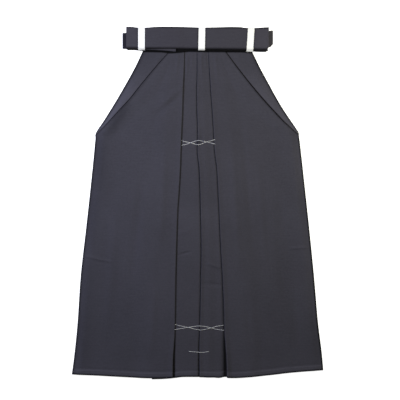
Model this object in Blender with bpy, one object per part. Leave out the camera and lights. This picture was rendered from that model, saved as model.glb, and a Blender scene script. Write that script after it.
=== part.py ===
"""Hakama trousers laid flat with the front up, their ties folded over the waist in three paper bands.

Sizes are in millimetres and are written to the meshes in metres. X runs across the garment, Y from the
middle of its length up to the waist, and Z up from the surface that it lies on. Left and right are as
seen from above. Each cloth piece is one strip of even wall, folded where the garment is pleated: a row
of points across the strip is carried along Y, and the wall is set off half to each side of it.
"""

import math

import bmesh
import bpy
import numpy as np

MM = 0.001

# Walls, and the clearance that pieces keep at seams and between layers
CLOTH = 1.0
STRAP = 1.3
PAPER = 0.5
SEAM = 0.3
LAYER = CLOTH + SEAM
STRAP_LAYER = STRAP + SEAM

# Levels along Y: top of the pleated front, lower edge of the front waistband over it, bottom of the side
# openings, crotch and hem, and where the cloth starts to be drawn to the hem lines below
FRONT_TOP = 429.5
STRAP_EDGE = 423.5
SIDE_OPENING = 196.0
CROTCH = -60.0
HEM = -485.0
HEM_FROM = -300.0

# Where each line of the front crosses a level: outline, edge of the bamboo-leaf fold, and pleats
FRONT_COLUMNS = (
    "y", "side_left", "leaf_left", "pleat_left", "pleat_centre", "pleat_right", "leaf_right", "side_right",
)
FRONT_LINES = (
    (-492.0, -351.0, -351.0, -68.0, 3.5, 83.0, 351.5, 351.5),
    (-440.0, -344.3, -344.3, -66.0, 5.0, 80.0, 347.4, 347.4),
    (-339.0, -334.5, -334.5, -63.3, 6.5, 75.5, 336.8, 336.8),
    (-205.0, -325.5, -325.5, -60.7, 8.5, 70.3, 325.3, 325.3),
    (-71.0, -310.5, -310.5, -57.0, 9.5, 62.0, 312.0, 312.0),
    (62.0, -296.0, -296.0, -51.0, 6.3, 54.0, 297.7, 297.7),
    (163.0, -286.0, -286.0, -44.8, 0.5, 47.5, 286.5, 286.5),
    (SIDE_OPENING, -283.0, -280.5, -43.4, 0.2, 45.5, 279.0, 282.0),
    (227.0, -263.4, -250.8, -42.5, 0.2, 43.5, 241.8, 262.0),
    (277.0, -231.8, -204.4, -40.5, -1.5, 40.5, 194.3, 229.8),
    (328.0, -202.2, -159.4, -39.2, -1.8, 37.2, 151.5, 201.8),
    (378.0, -174.6, -118.6, -38.2, -1.8, 34.0, 112.5, 174.8),
    (430.0, -149.5, -71.5, -37.0, -1.8, 30.2, 73.5, 149.5),
)

# How deep the side pleats, the centre pleat and the turned edge at the side go under
DEPTH_COLUMNS = ("y", "side_pleat", "centre_pleat", "turn")
DEPTHS = (
    (-492.0, 61.0, 22.0, 10.0),
    (-60.0, 50.0, 18.0, 10.0),
    (SIDE_OPENING, 40.0, 14.0, 10.0),
    (330.0, 32.0, 12.0, 20.0),
    (430.0, 24.0, 12.0, 6.0),
)

# How far each folded edge stands open above its pressed height
OPEN_COLUMNS = ("y", "left", "centre", "right", "leaf")
OPENINGS = (
    (-492.0, 2.6, 1.6, 6.0, 0.8),
    (-400.0, 1.8, 1.2, 3.6, 0.8),
    (-300.0, 1.4, 1.0, 1.6, 0.8),
    (360.0, 1.2, 0.8, 1.2, 1.0),
    (405.0, 0.0, 0.0, 0.0, 0.0),
    (430.0, 0.0, 0.0, 0.0, 0.0),
)

# How far a layer takes to settle: past the layers under a pleat, past the turned side edge, and from an
# open fold down to its pressed height
SETTLE_START = 3.0
PLEAT_SETTLE = 18.0
TURN_SETTLE = 15.0
CENTRE_SETTLE = 15.0
OPEN_SETTLE = 18.0
LEAF_OPEN_SETTLE = 12.0
CENTRE_OPEN_SETTLE = 10.0

# The side seam's turned edge stops short of the outline, and so does the back. The centre pleat's
# hidden end drops off the left strip's edge over a short tail.
TURNED_EDGE_INSET = 1.5
BACK_INSET = 1.5
BACK_HEM_RISE = 3.0
GUSSET_HEM_RISE = 4.0
TAIL_START = 1.0
TAIL_DROP = 4.0
TAIL_END = 6.0

# Bottom edges, each a line across the hem
HEM_COLUMNS = ("x", "panels", "strips")
HEM_LINES = (
    (-352.0, -476.6, -490.2),
    (-271.7, -480.4, -490.2),
    (-204.8, -484.1, -490.2),
    (-137.8, -487.1, -490.2),
    (-104.3, -487.0, -489.6),
    (-70.9, -485.8, -487.4),
    (-37.4, -484.5, -483.6),
    (-3.9, -484.5, -483.4),
    (29.6, -485.0, -485.7),
    (46.3, -485.2, -486.4),
    (79.8, -485.5, -484.6),
    (100.0, -486.6, -484.0),
    (146.8, -484.1, -482.0),
    (213.7, -477.6, -478.0),
    (255.0, -472.6, -474.0),
    (352.0, -464.8, -470.0),
)

# Gussets: half their width at the crotch and at the hem, and how the layers above rise over them
GUSSET_TOP_WIDTH = 42.0
GUSSET_HEM_WIDTH = 140.0
GUSSET_LAYERS = 2
GUSSET_RISE_FROM = 145.0
GUSSET_RISE_WIDTH = 40.0
GUSSET_RISE_LENGTH = 58.0
GUSSET_CLEAR = 1.0

# Ties. The pleated front rises to lie under the front strap, which rests on the folded back strap.
FRONT_STRAP_WIDTH = 62.0
BACK_STRAP_WIDTH = 44.0
BACK_STRAP_EDGE = 433.0
BACK_STRAP_SKEW = 0.011
BACK_STRAP_LAYERS = 5
FRONT_STRAP_BASE = BACK_STRAP_LAYERS * STRAP_LAYER
WAIST_RISE = FRONT_STRAP_BASE - SEAM - CLOTH - 3 * LAYER
WAIST_RISE_FROM = 384.0

# Runs of the front strap from one free end to the other. Run 1 is the waistband, sewn to the front.
STRAP_COLUMNS = ("level", "from_x", "to_x", "from_y", "to_y")
FRONT_STRAP_RUNS = (
    (5, -60.0, -189.0, 452.2, 457.5),
    (4, -189.0, 188.0, 457.8, 455.6),
    (3, 188.0, -186.0, 455.4, 458.2),
    (2, -186.0, 192.0, 458.2, 454.9),
    (1, 192.0, -195.0, 454.5, 454.5),
    (6, -195.0, 196.0, 458.0, 455.3),
    (7, 196.0, -193.0, 455.2, 458.4),
    (8, -193.0, 198.5, 458.6, 455.0),
    (9, 198.5, -197.5, 455.0, 458.7),
)
BACK_STRAP_RUNS = (
    (2, 196.0, -201.0, 457.2, 452.8),
    (1, -201.0, 211.0, 452.8, 457.3),
    (0, 211.0, -209.0, 457.3, 452.7),
    (3, -209.0, 209.0, 452.7, 457.3),
    (4, 209.0, -205.0, 457.3, 452.7),
)
FIRST_FOLDED_RUN = 2
LAST_FOLDED_RUN = 9
SHORT_RUN = 5
SHORT_RUN_END = FRONT_STRAP_RUNS[0][1]
SHORT_RUN_SETTLE = 30.0
STRAP_BOW = 1.8
STRAP_FOLD_POINTS = 5

# Cut-off lower corners at the right ends of the ties: where each starts, its length and its height, and
# the lowest run that has it
FRONT_STRAP_CORNER = (192.0, 6.0, 10.0)
FRONT_CORNER_RUN = 8
BACK_STRAP_CORNER = (204.0, 7.0, 9.0)
BACK_CORNER_RUN = 1

# Paper bands round the folded ties: name, middle, width, and lean to the right
BANDS = (
    ("paper_band_left", -154.0, 22.0, 0.0),
    ("paper_band_centre", 12.9, 22.0, 0.0),
    ("paper_band_right", 148.0, 20.5, 0.06),
)
BAND_RADIUS = 0.6

FRONT_ROWS = np.array((
    FRONT_TOP, 421.0, 408.0, 396.0, 383.0, 355.0, 325.0, 288.0, 250.0, 222.0, SIDE_OPENING, 172.0, 120.0,
    60.0, 0.0, -20.0, -40.0, -58.0, -130.0, -210.0, -290.0, -350.0, -405.0, -450.0, HEM,
))
BACK_ROWS = FRONT_ROWS[::2]
GUSSET_ROWS = np.linspace(CROTCH, HEM, 8)
FOLD_POINTS = 4

CLOTH_COLOUR = (0.052, 0.050, 0.064, 1.0)
PAPER_COLOUR = (0.86, 0.86, 0.85, 1.0)


def ease(t):
    """0 up to t = 0 and 1 from t = 1, with a level start and end between: 3t^2 - 2t^3."""
    t = np.clip(t, 0.0, 1.0)
    return t * t * (3.0 - 2.0 * t)


def smooth(at, knots, values):
    """Cubic through the knots. Its slope at a knot is the harmonic mean of the slopes beside it, or
    level at a turning point, so that it never overshoots and a corner stays crisp."""
    knots, values = np.asarray(knots), np.asarray(values)
    step = np.diff(knots)
    slope = np.diff(values) / step
    before, after = slope[:-1], slope[1:]
    turning = before * after <= 0.0
    inner = np.where(turning, 0.0, 2.0 * before * after / np.where(turning, 1.0, before + after))
    tangent = np.concatenate([slope[:1], inner, slope[-1:]])
    at = np.clip(at, knots[0], knots[-1])
    i = np.clip(np.searchsorted(knots, at) - 1, 0, len(step) - 1)
    t = (at - knots[i]) / step[i]
    rise = values[i + 1] - values[i]
    start, end = tangent[i] * step[i], tangent[i + 1] * step[i]
    return values[i] + t * start + t * t * (3 * rise - 2 * start - end) + t**3 * (start + end - 2 * rise)


def column(columns, table, name, at):
    """The named column of a table, read at a place along its first column."""
    rows = np.array(table)
    return smooth(at, rows[:, 0], rows[:, columns.index(name)])


def front_line(name, y):
    return column(FRONT_COLUMNS, FRONT_LINES, name, y)


def depth(name, y):
    return column(DEPTH_COLUMNS, DEPTHS, name, y)


def opening(name, y):
    return column(OPEN_COLUMNS, OPENINGS, name, y)


def height(level, x, y):
    """Middle of a layer: its level, counted up from the back, over the gussets and up to the waist."""
    over_gusset = ease((GUSSET_RISE_FROM + GUSSET_RISE_WIDTH - np.abs(x)) / GUSSET_RISE_WIDTH)
    below_crotch = ease((CROTCH + GUSSET_RISE_LENGTH - y) / GUSSET_RISE_LENGTH)
    to_waist = ease((y - WAIST_RISE_FROM) / (STRAP_EDGE - WAIST_RISE_FROM))
    level = level + GUSSET_LAYERS * over_gusset * below_crotch
    return CLOTH / 2 + LAYER * level + WAIST_RISE * to_waist


def near_hem(y):
    return ease((HEM_FROM - y) / (HEM_FROM - HEM))


def at_hem(y, x, hem):
    """Y of each point: the row's own level, drawn to the hem line over the lowest part of the cloth."""
    return y + near_hem(y) * (column(HEM_COLUMNS, HEM_LINES, hem, x) - HEM)


def spread(first, last, *marks):
    """Points from first to last in each row, gathered at the marks and never quite on each other."""
    marks = [np.clip(mark, np.minimum(first, last), np.maximum(first, last)) for mark in marks]
    gathered = np.sort(np.concatenate([first, last, *marks], axis=1), axis=1)
    descending = first[0, 0] > last[0, 0]
    gathered = gathered[:, ::-1] if descending else gathered
    even = first + (last - first) * np.linspace(0.0, 1.0, gathered.shape[1])
    return 0.92 * gathered + 0.08 * even


def folded(runs, fold_points=FOLD_POINTS):
    """A strip through its runs, each a pair of arrays of places across and heights. The end of a run
    and the start of the next lie above each other, and half a circle joins them."""
    across, up = [runs[0][0]], [runs[0][1]]
    turn = np.linspace(0.0, math.pi, fold_points + 2)[1:-1]
    for (from_x, from_z), (to_x, to_z) in zip(runs, runs[1:]):
        middle = (from_z[:, -1:] + to_z[:, :1]) / 2
        radius = np.abs(from_z[:, -1:] - to_z[:, :1]) / 2
        onward = np.sign(from_x[:, -1:] - from_x[:, -2:-1])
        across += [from_x[:, -1:] + onward * radius * np.sin(turn), to_x]
        up += [middle + (from_z[:, -1:] - middle) * np.cos(turn), to_z]
    return np.concatenate(across, axis=1), np.concatenate(up, axis=1)


def walls(across, up, wall):
    """The two faces of a strip, each half the wall from its middle, square to it in each row."""
    along_x, along_z = np.gradient(across, axis=1), np.gradient(up, axis=1)
    length = np.hypot(along_x, along_z)
    off_x, off_z = -along_z / length * wall / 2, along_x / length * wall / 2
    return (across + off_x, up + off_z), (across - off_x, up - off_z)


def shell_faces(rows, points):
    """Quads over both faces of a strip of rows by points, and round its four edges."""
    grid = np.arange(rows * points).reshape(rows, points)
    other = grid + rows * points
    quads = np.stack([grid[:-1, :-1], grid[:-1, 1:], grid[1:, 1:], grid[1:, :-1]], axis=-1).reshape(-1, 4)
    rim = np.concatenate([grid[0, :-1], grid[:-1, -1], grid[-1, :0:-1], grid[:0:-1, 0]])
    after = np.roll(rim, -1)
    edges = np.stack([rim, after, after + rows * points, rim + rows * points], axis=-1)
    far = np.stack([other[:-1, :-1], other[1:, :-1], other[1:, 1:], other[:-1, 1:]], axis=-1).reshape(-1, 4)
    return np.concatenate([quads, far, edges])


def material(name, colour, roughness):
    found = bpy.data.materials.new(name)
    found.use_nodes = True
    shader = found.node_tree.nodes["Principled BSDF"]
    shader.inputs["Base Color"].default_value = colour
    shader.inputs["Roughness"].default_value = roughness
    shader.inputs["Metallic"].default_value = 0.0
    return found


def cloth_material(name):
    return material(name + "_cloth", CLOTH_COLOUR, 0.85)


def add_solid(name, points, faces, look):
    """One closed body with its faces outwards, from points in millimetres."""
    mesh = bpy.data.meshes.new(name)
    mesh.from_pydata((points * MM).tolist(), [], faces.tolist())
    body = bmesh.new()
    body.from_mesh(mesh)
    bmesh.ops.recalc_face_normals(body, faces=body.faces)
    body.to_mesh(mesh)
    body.free()
    mesh.shade_smooth()
    mesh.set_sharp_from_angle(angle=math.radians(40))
    mesh.materials.append(look)
    bpy.context.scene.collection.objects.link(bpy.data.objects.new(name, mesh))


def add_strip(name, runs, y, hem):
    """A cloth piece from its folded rows, with its bottom on a hem line."""
    across, up = folded(runs)
    rows, points = across.shape
    level = at_hem(y, across, hem)
    faces = [np.stack([x, level, z], axis=-1).reshape(-1, 3) for x, z in walls(across, up, CLOTH)]
    add_solid(name, np.concatenate(faces), shell_faces(rows, points), cloth_material(name))


def side_panel(side, name):
    """Front panel at one side. Its pleat edge lies on the centre strip, with the cloth going back under
    it, and at the side it turns under and out again: as the leaf above the side opening's end, and as
    the seam's turned edge below. Places are distances out from the middle."""
    y = FRONT_ROWS[:, None]
    pleat, leaf, outline = (side * front_line(f"{line}_{name}", y) for line in ("pleat", "leaf", "side"))
    under_end = pleat + depth("side_pleat", y)
    turned = leaf - depth("turn", y)
    pleat_open, leaf_open = opening(name, y), opening("leaf", y)
    pleat_radius, leaf_radius = (LAYER + pleat_open) / 2, (LAYER + leaf_open) / 2
    pleat_fold = pleat + pleat_radius + CLOTH / 2
    leaf_fold = leaf - leaf_radius - CLOTH / 2
    inner_fold = turned + LAYER / 2
    below_opening = ease((SIDE_OPENING - y) / (SIDE_OPENING - FRONT_ROWS[12]))
    leaf_end = outline - TURNED_EDGE_INSET * below_opening
    over_end = under_end + SETTLE_START
    over_turned = turned - SETTLE_START

    under = spread(under_end, pleat_fold, under_end - 12.0)
    top = spread(
        pleat_fold, leaf_fold, *(pleat_fold + OPEN_SETTLE * part for part in (0.3, 0.6, 1.0)),
        *(over_end + PLEAT_SETTLE * part for part in (0.0, 0.33, 0.66, 1.05)), (under_end + turned) / 2,
        *(over_turned - TURN_SETTLE * part for part in (0.0, 0.5, 1.0)), leaf_fold - LEAF_OPEN_SETTLE / 2,
    )
    inward = spread(leaf_fold, inner_fold, (leaf_fold + inner_fold) / 2)
    outward = spread(inner_fold, leaf_end, (inner_fold + leaf_end) / 2)

    over_pleat = ease(1.0 - (top - over_end) / PLEAT_SETTLE)
    over_turn = ease(1.0 - (over_turned - top) / TURN_SETTLE)
    top_level = 1.0 + 2.0 * np.maximum(over_pleat, over_turn)
    raised = pleat_open * ease(1.0 - (top - pleat_fold) / OPEN_SETTLE)
    raised = raised + leaf_open * ease(1.0 - (leaf_fold - top) / LEAF_OPEN_SETTLE)
    runs = [
        (under, height(2.0, under, y)),
        (top, height(top_level, top, y) + raised),
        (inward, height(2.0, inward, y)),
        (outward, height(1.0, outward, y)),
    ]
    add_strip(f"front_{name}", [(side * across, up) for across, up in runs], y, "panels")


def centre_left():
    """Centre strip at the left: from the seam under the left panel, on to the seam under the right strip."""
    y = FRONT_ROWS[:, None]
    pleat = front_line("pleat_left", y)
    from_x = pleat - depth("side_pleat", y)
    to_x = front_line("pleat_centre", y) + depth("centre_pleat", y)
    strip = spread(from_x, to_x, from_x + 30.0, pleat, pleat + 12.0, to_x - 12.0)
    add_strip("centre_left", [(strip, height(1.0, strip, y))], y, "strips")


def centre_right():
    """Centre strip at the right: its folded edge lies on the left strip at the centre pleat."""
    y = FRONT_ROWS[:, None]
    edge = front_line("pleat_centre", y)
    seam = edge + depth("centre_pleat", y)
    pleat = front_line("pleat_right", y)
    far = pleat + depth("side_pleat", y)
    edge_open = opening("centre", y)
    fold = edge + (LAYER + edge_open) / 2 + CLOTH / 2
    tail = seam + TAIL_START
    under = spread(seam + TAIL_END, fold, tail + TAIL_DROP, tail + TAIL_DROP / 2, tail)
    top = spread(
        fold, far, fold + CENTRE_OPEN_SETTLE / 2, pleat, (pleat + far) / 2,
        *(tail + CENTRE_SETTLE * part for part in (0.0, 0.3, 0.65, 1.05)),
    )
    under_level = 2.0 - ease((under - tail) / TAIL_DROP)
    top_level = 1.0 + 2.0 * ease(1.0 - (top - tail) / CENTRE_SETTLE)
    raised = edge_open * ease(1.0 - (top - fold) / CENTRE_OPEN_SETTLE)
    runs = [(under, height(under_level, under, y)), (top, height(top_level, top, y) + raised)]
    add_strip("centre_right", runs, y, "strips")


def back_panel(side, name):
    """Back panel at one side: flat on the surface, sewn at the middle, just inside the front's outline."""
    y = BACK_ROWS[:, None]
    first = np.full_like(y, SEAM / 2)
    outline = side * front_line(f"side_{name}", y) - BACK_INSET
    across = side * spread(first, outline, outline / 3, outline * 2 / 3, outline - 20.0)
    rows, points = across.shape
    top = BACK_STRAP_EDGE + BACK_STRAP_SKEW * across - SEAM
    level = at_hem(y, across, "panels") + BACK_HEM_RISE * near_hem(y)
    level = level + ease((y - WAIST_RISE_FROM) / (FRONT_TOP - WAIST_RISE_FROM)) * (top - FRONT_TOP)
    faces = [np.stack([across, level, np.full_like(across, z)], axis=-1).reshape(-1, 3) for z in (CLOTH, 0.0)]
    node = f"back_{name}"
    add_solid(node, np.concatenate(faces), shell_faces(rows, points), cloth_material(node))


def gusset(side, name):
    """Gusset of one leg, folded in half under the centre strips: from the back's middle seam out to its
    fold and in again to the front's middle seam."""
    y = GUSSET_ROWS[:, None]
    down = (CROTCH - y) / (CROTCH - HEM)
    fold = side * (GUSSET_TOP_WIDTH + (GUSSET_HEM_WIDTH - GUSSET_TOP_WIDTH) * down - LAYER / 2)
    seam = front_line("pleat_centre", y) + depth("centre_pleat", y) + (GUSSET_CLEAR if side > 0 else 0.0)
    inner = np.full_like(y, side * SEAM)
    lower = spread(inner, fold, (inner + fold) / 2)
    upper = spread(fold, seam, (fold + seam) / 2)
    runs = [(run, np.full_like(run, CLOTH / 2 + LAYER * level)) for run, level in ((lower, 1), (upper, 2))]
    add_strip(f"gusset_{name}", runs, y + GUSSET_HEM_RISE * near_hem(y), "panels")


def bow(x):
    """How far the folded ties swell between their paper bands: 0 at a band, 1 half way to the next."""
    middles = np.array([band[1] for band in BANDS])
    swell = np.zeros_like(x)
    for start, end in zip(middles, middles[1:]):
        swell = swell + np.clip(4.0 * (x - start) * (end - x) / (end - start) ** 2, 0.0, 1.0)
    return swell


def front_strap_height(level, x):
    """Middle of a layer of the front strap. The runs over its short one settle where that one ends."""
    if level < FIRST_FOLDED_RUN:
        return np.full_like(x, FRONT_STRAP_BASE + STRAP / 2)
    first = FRONT_STRAP_BASE + STRAP + SEAM + PAPER + SEAM + STRAP / 2
    settled = (level > SHORT_RUN) * ease((x - SHORT_RUN_END - SETTLE_START) / SHORT_RUN_SETTLE)
    return first + STRAP_LAYER * (level - FIRST_FOLDED_RUN - settled)


def back_strap_height(level, x):
    return np.full_like(x, STRAP / 2 + STRAP_LAYER * level)


def strap_rows(table, layer_height, points=10):
    """Places, heights, middle lines and levels along a tie, run by run with half-circle folds between.
    A run's ends in the table are its outermost places, so a fold's radius is taken off."""
    across, up, middle, levels = [], [], [], []
    turn = np.linspace(0.0, math.pi, STRAP_FOLD_POINTS + 2)[1:-1]
    runs = [dict(zip(STRAP_COLUMNS, row)) for row in table]
    insets = [0.0]
    for run, after in zip(runs, runs[1:]):
        end = np.array([run["to_x"]])
        insets.append(abs(float(layer_height(run["level"], end)[0] - layer_height(after["level"], end)[0])) / 2)
    insets.append(0.0)
    for number, run in enumerate(runs):
        onward = np.sign(run["to_x"] - run["from_x"])
        start = run["from_x"] + onward * (insets[number] + (STRAP / 2 if number else 0.0))
        is_last = number == len(runs) - 1
        end = run["to_x"] - onward * (insets[number + 1] + (0.0 if is_last else STRAP / 2))
        x = np.linspace(start, end, points)
        z = layer_height(run["level"], x)
        y = np.linspace(run["from_y"], run["to_y"], points)
        across.append(x)
        up.append(z)
        middle.append(y)
        levels.append(np.full(points, run["level"]))
        if is_last:
            continue
        after = runs[number + 1]
        next_z = layer_height(after["level"], x[-1:])
        centre, radius = (z[-1:] + next_z) / 2, insets[number + 1]
        across.append(x[-1] + onward * radius * np.sin(turn))
        up.append(centre + (z[-1:] - centre) * np.cos(turn))
        middle.append(np.linspace(run["to_y"], after["from_y"], len(turn)))
        levels.append(np.full(len(turn), max(run["level"], after["level"])))
    return [np.concatenate(part) for part in (across, up, middle, levels)]


def cut_corner(x, corner, cut):
    """How far the lower edge rises towards a cut-off corner."""
    start, length, rise = corner
    return np.where(cut, np.clip((x - start) / length, 0.0, 1.0) * rise, 0.0)


def add_strap(name, across, up, low, high):
    """A tie from its side view, as wide as its two edges are apart."""
    (outer_x, outer_z), (inner_x, inner_z) = walls(across[None], up[None], STRAP)
    points = [
        np.stack([np.repeat(x, 2, axis=0), np.stack([low, high]), np.repeat(z, 2, axis=0)], axis=-1)
        for x, z in ((outer_x, outer_z), (inner_x, inner_z))
    ]
    points = np.concatenate([face.reshape(-1, 3) for face in points])
    add_solid(name, points, shell_faces(2, len(across)), cloth_material(name))


def front_strap():
    across, up, middle, level = strap_rows(FRONT_STRAP_RUNS, front_strap_height)
    middle = middle + np.where(level >= FIRST_FOLDED_RUN, STRAP_BOW * bow(across), 0.0)
    rise = cut_corner(across, FRONT_STRAP_CORNER, level >= FRONT_CORNER_RUN)
    low, high = middle - FRONT_STRAP_WIDTH / 2 + rise, middle + FRONT_STRAP_WIDTH / 2
    add_strap("front_strap", across, up, low, high)
    return across, up, low, high, level


def back_strap():
    across, up, middle, level = strap_rows(BACK_STRAP_RUNS, back_strap_height)
    rise = cut_corner(across, BACK_STRAP_CORNER, level >= BACK_CORNER_RUN)
    low, high = middle - BACK_STRAP_WIDTH / 2 + rise, middle + BACK_STRAP_WIDTH / 2
    low = np.where(level == 0, np.maximum(low, BACK_STRAP_EDGE + BACK_STRAP_SKEW * across), low)
    add_strap("back_strap", across, up, low, high)


def rounded_loop(low, high, bottom, top, radius):
    """Rectangle with rounded corners, as places along Y and heights, anticlockwise from the lower right."""
    turn = np.radians(np.linspace(0.0, 90.0, 4))
    y, z = [], []
    corners = (
        (high - radius, bottom + radius, -90.0), (high - radius, top - radius, 0.0),
        (low + radius, top - radius, 90.0), (low + radius, bottom + radius, 180.0),
    )
    for centre_y, centre_z, start in corners:
        y.append(centre_y + radius * np.cos(turn + math.radians(start)))
        z.append(centre_z + radius * np.sin(turn + math.radians(start)))
    return np.concatenate(y), np.concatenate(z)


def edge_at(x, across, edge, run):
    """Where an edge of one run lies at the given places across."""
    order = np.argsort(across[run])
    return np.interp(x, across[run][order], edge[run][order])


def paper_band(name, x, width, lean, strap):
    """A closed ring of paper round the folded runs of the front strap, its walls clear of them all."""
    across, up, low, high, level = strap
    middle_y = (low.min() + high.max()) / 2
    reach = width / 2 + abs(lean) * FRONT_STRAP_WIDTH / 2
    at = np.linspace(x - reach, x + reach, 9)
    runs = [level == number for number in range(FIRST_FOLDED_RUN, LAST_FOLDED_RUN + 1)]
    runs = [run for run in runs if across[run].min() < x < across[run].max()]
    lows = [edge_at(at, across, low, run) for run in runs]
    highs = [edge_at(at, across, high, run) for run in runs]
    bottom = FRONT_STRAP_BASE + STRAP + SEAM
    top = float(front_strap_height(LAST_FOLDED_RUN, at).max()) + STRAP / 2 + SEAM + PAPER
    inner = (np.min(lows) - SEAM, np.max(highs) + SEAM, bottom + PAPER, top - PAPER)
    loops = [
        rounded_loop(*inner, BAND_RADIUS),
        rounded_loop(inner[0] - PAPER, inner[1] + PAPER, bottom, top, BAND_RADIUS + PAPER),
    ]
    count = len(loops[0][0])
    rings = []
    for y, z in loops:
        for edge in (-width / 2, width / 2):
            rings.append(np.stack([x + edge + lean * (y - middle_y), y, z], axis=-1))
    index = np.arange(count)
    after = np.roll(index, -1)
    inner_near, inner_far, outer_near, outer_far = (k * count for k in range(4))
    pairs = (
        (inner_near, inner_far), (inner_far, outer_far), (outer_far, outer_near), (outer_near, inner_near),
    )
    faces = [np.stack([index + a, after + a, after + b, index + b], axis=-1) for a, b in pairs]
    add_solid(name, np.concatenate(rings), np.concatenate(faces), material(name + "_paper", PAPER_COLOUR, 0.6))


def clear_scene():
    for found in list(bpy.data.objects):
        bpy.data.objects.remove(found, do_unlink=True)


def main():
    clear_scene()
    for side, name in ((-1, "left"), (1, "right")):
        back_panel(side, name)
        gusset(side, name)
        side_panel(side, name)
    centre_left()
    centre_right()
    back_strap()
    strap = front_strap()
    for name, x, width, lean in BANDS:
        paper_band(name, x, width, lean, strap)


main()
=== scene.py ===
"""Hakama trousers laid flat on a pale table: pleated cloth, folded ties, paper bands and basting threads.

Sizes are in millimetres until a mesh is written, which is in metres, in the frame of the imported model:
X across the garment, Y up it to the waist, Z up from the table. Left and right are as seen from above.
Every cloth piece is a strip: a row of points across it, through its folds, is carried along Y, and the
two faces are set off square to the row by half the cloth each. Layers keep the levels of the solids, and
one soft relief lifts all of them together, so that they never cut each other.
"""

import math
from functools import partial

import bpy
import numpy as np
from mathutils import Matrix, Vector


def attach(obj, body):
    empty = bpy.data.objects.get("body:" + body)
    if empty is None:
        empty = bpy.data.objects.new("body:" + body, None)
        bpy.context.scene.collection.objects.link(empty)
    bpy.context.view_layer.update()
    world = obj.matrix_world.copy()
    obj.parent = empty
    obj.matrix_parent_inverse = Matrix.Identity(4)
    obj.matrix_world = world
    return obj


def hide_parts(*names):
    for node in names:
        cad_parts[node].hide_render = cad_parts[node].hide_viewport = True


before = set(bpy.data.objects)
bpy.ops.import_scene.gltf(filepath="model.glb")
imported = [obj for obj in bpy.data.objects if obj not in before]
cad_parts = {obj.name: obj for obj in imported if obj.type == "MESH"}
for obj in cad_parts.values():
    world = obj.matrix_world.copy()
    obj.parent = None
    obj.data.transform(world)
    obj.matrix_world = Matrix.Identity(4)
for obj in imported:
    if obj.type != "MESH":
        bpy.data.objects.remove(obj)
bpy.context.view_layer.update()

MM = 0.001

# Walls of the pieces here, finer than the solids', then the solids' own walls and pitches, which set levels
CLOTH = 0.7
TIE = 1.2
PAPER = 0.3
SOLID_CLOTH = 1.0
SOLID_TIE = 1.3
SOLID_PAPER = 0.5
SEAM = 0.3
LAYER = SOLID_CLOTH + SEAM
TIE_LAYER = SOLID_TIE + SEAM

# Levels along Y: top of the pleated front, edge of the waistband, end of the side openings, crotch and hem
FRONT_TOP = 429.5
STRAP_EDGE = 423.5
SIDE_OPENING = 196.0
OPENING_ROUND = 24.0
CROTCH = -60.0
HEM = -485.0
HEM_FROM = -300.0
WAIST_RISE_FROM = 384.0

# Outline and the edge of the bamboo-leaf fold at each level
OUTLINE = (
    ("y", "side_left", "leaf_left", "leaf_right", "side_right"),
    (-492, -351, -351, 351.5, 351.5),
    (-440, -344.3, -344.3, 347.4, 347.4),
    (-339, -334.5, -334.5, 336.8, 336.8),
    (-205, -325.5, -325.5, 325.3, 325.3),
    (-71, -310.5, -310.5, 312, 312),
    (62, -296, -296, 297.7, 297.7),
    (163, -286, -286, 286.5, 286.5),
    (182, -284.5, -284.5, 284.2, 284.2),
    (190, -285.2, -285.2, 283.6, 283.6),
    (SIDE_OPENING, -283.4, -279, 276.2, 282.9),
    (207.6, -276.7, -267.2, 263.2, 276.2),
    (227, -263.4, -248, 241.8, 263),
    (260, -242.5, -217.4, 210.6, 240.9),
    (290, -224.3, -189.6, 183.4, 222.7),
    (328, -202.2, -159.4, 151.5, 201.8),
    (378, -174.6, -118.6, 112.5, 174.8),
    (430, -149.5, -71.5, 73.5, 149.5),
)

# Middle of the dark gap beside each pleat's folded edge
PLEATS = (
    ("y", "left", "centre", "right"),
    (-492, -65.9, 4.6, 77.2),
    (-424, -65.3, 4.3, 76),
    (-396, -63.9, 4.6, 74.8),
    (-368, -62.6, 5.6, 73.9),
    (-299, -61.4, 7.1, 72.3),
    (-215, -60.3, 8.9, 69.6),
    (-131, -58.3, 10.3, 65),
    (-76, -56.6, 9.6, 62.2),
    (-20, -54.8, 8.4, 60),
    (36, -50.9, 7, 57.2),
    (92, -47.6, 4.9, 54.2),
    (148, -45.6, -0.4, 47.6),
    (203, -43.5, 0.3, 44.6),
    (259, -41, -1.5, 41),
    (315, -39.6, -1.9, 36.9),
    (371, -37, -0.8, 33.4),
    (430, -35.7, -0.8, 30.2),
)

# Width of each gap, narrow where a basting thread draws the folds together
GAPS = (
    ("y", "left", "centre", "right", "leaf_left", "leaf_right"),
    (-492, 5.2, 3.2, 10, 1, 1),
    (-440, 4.2, 2.6, 8.6, 1, 1),
    (-396, 2.2, 1.8, 6.4, 1, 1),
    (-346, 0.9, 1.6, 3.4, 1, 1),
    (-299, 1, 2.6, 4.2, 1, 1),
    (-215, 1.2, 1.8, 2, 1, 1),
    (0, 0.9, 2.2, 1.8, 1, 1),
    (100, 0.9, 2, 1.8, 1, 1),
    (170, 0.7, 1.2, 1.2, 1, 1),
    (203, 0.9, 1.6, 1.4, 1.3, 2.4),
    (260, 0.9, 1.6, 1.4, 2.6, 4),
    (371, 1.2, 1.4, 1.4, 2, 2.4),
    (430, 1.3, 1, 1, 1.6, 1.6),
)

# How far each folded edge stands up, and how far the cloth beside it sinks
STANDS = (
    ("y", "left", "centre", "right", "leaf", "sink"),
    (-492, 3.4, 2.4, 5, 0.8, 2.6),
    (-396, 2.2, 1.6, 3.4, 0.8, 2.2),
    (-346, 1.2, 1.2, 1.6, 0.8, 1.4),
    (-299, 1.6, 1.8, 2.2, 0.8, 1.8),
    (0, 1.5, 1.5, 1.5, 0.9, 1.6),
    (360, 1.3, 1.2, 1.2, 1.1, 1.2),
    (405, 0, 0, 0, 0, 0),
    (430, 0, 0, 0, 0, 0),
)

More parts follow.
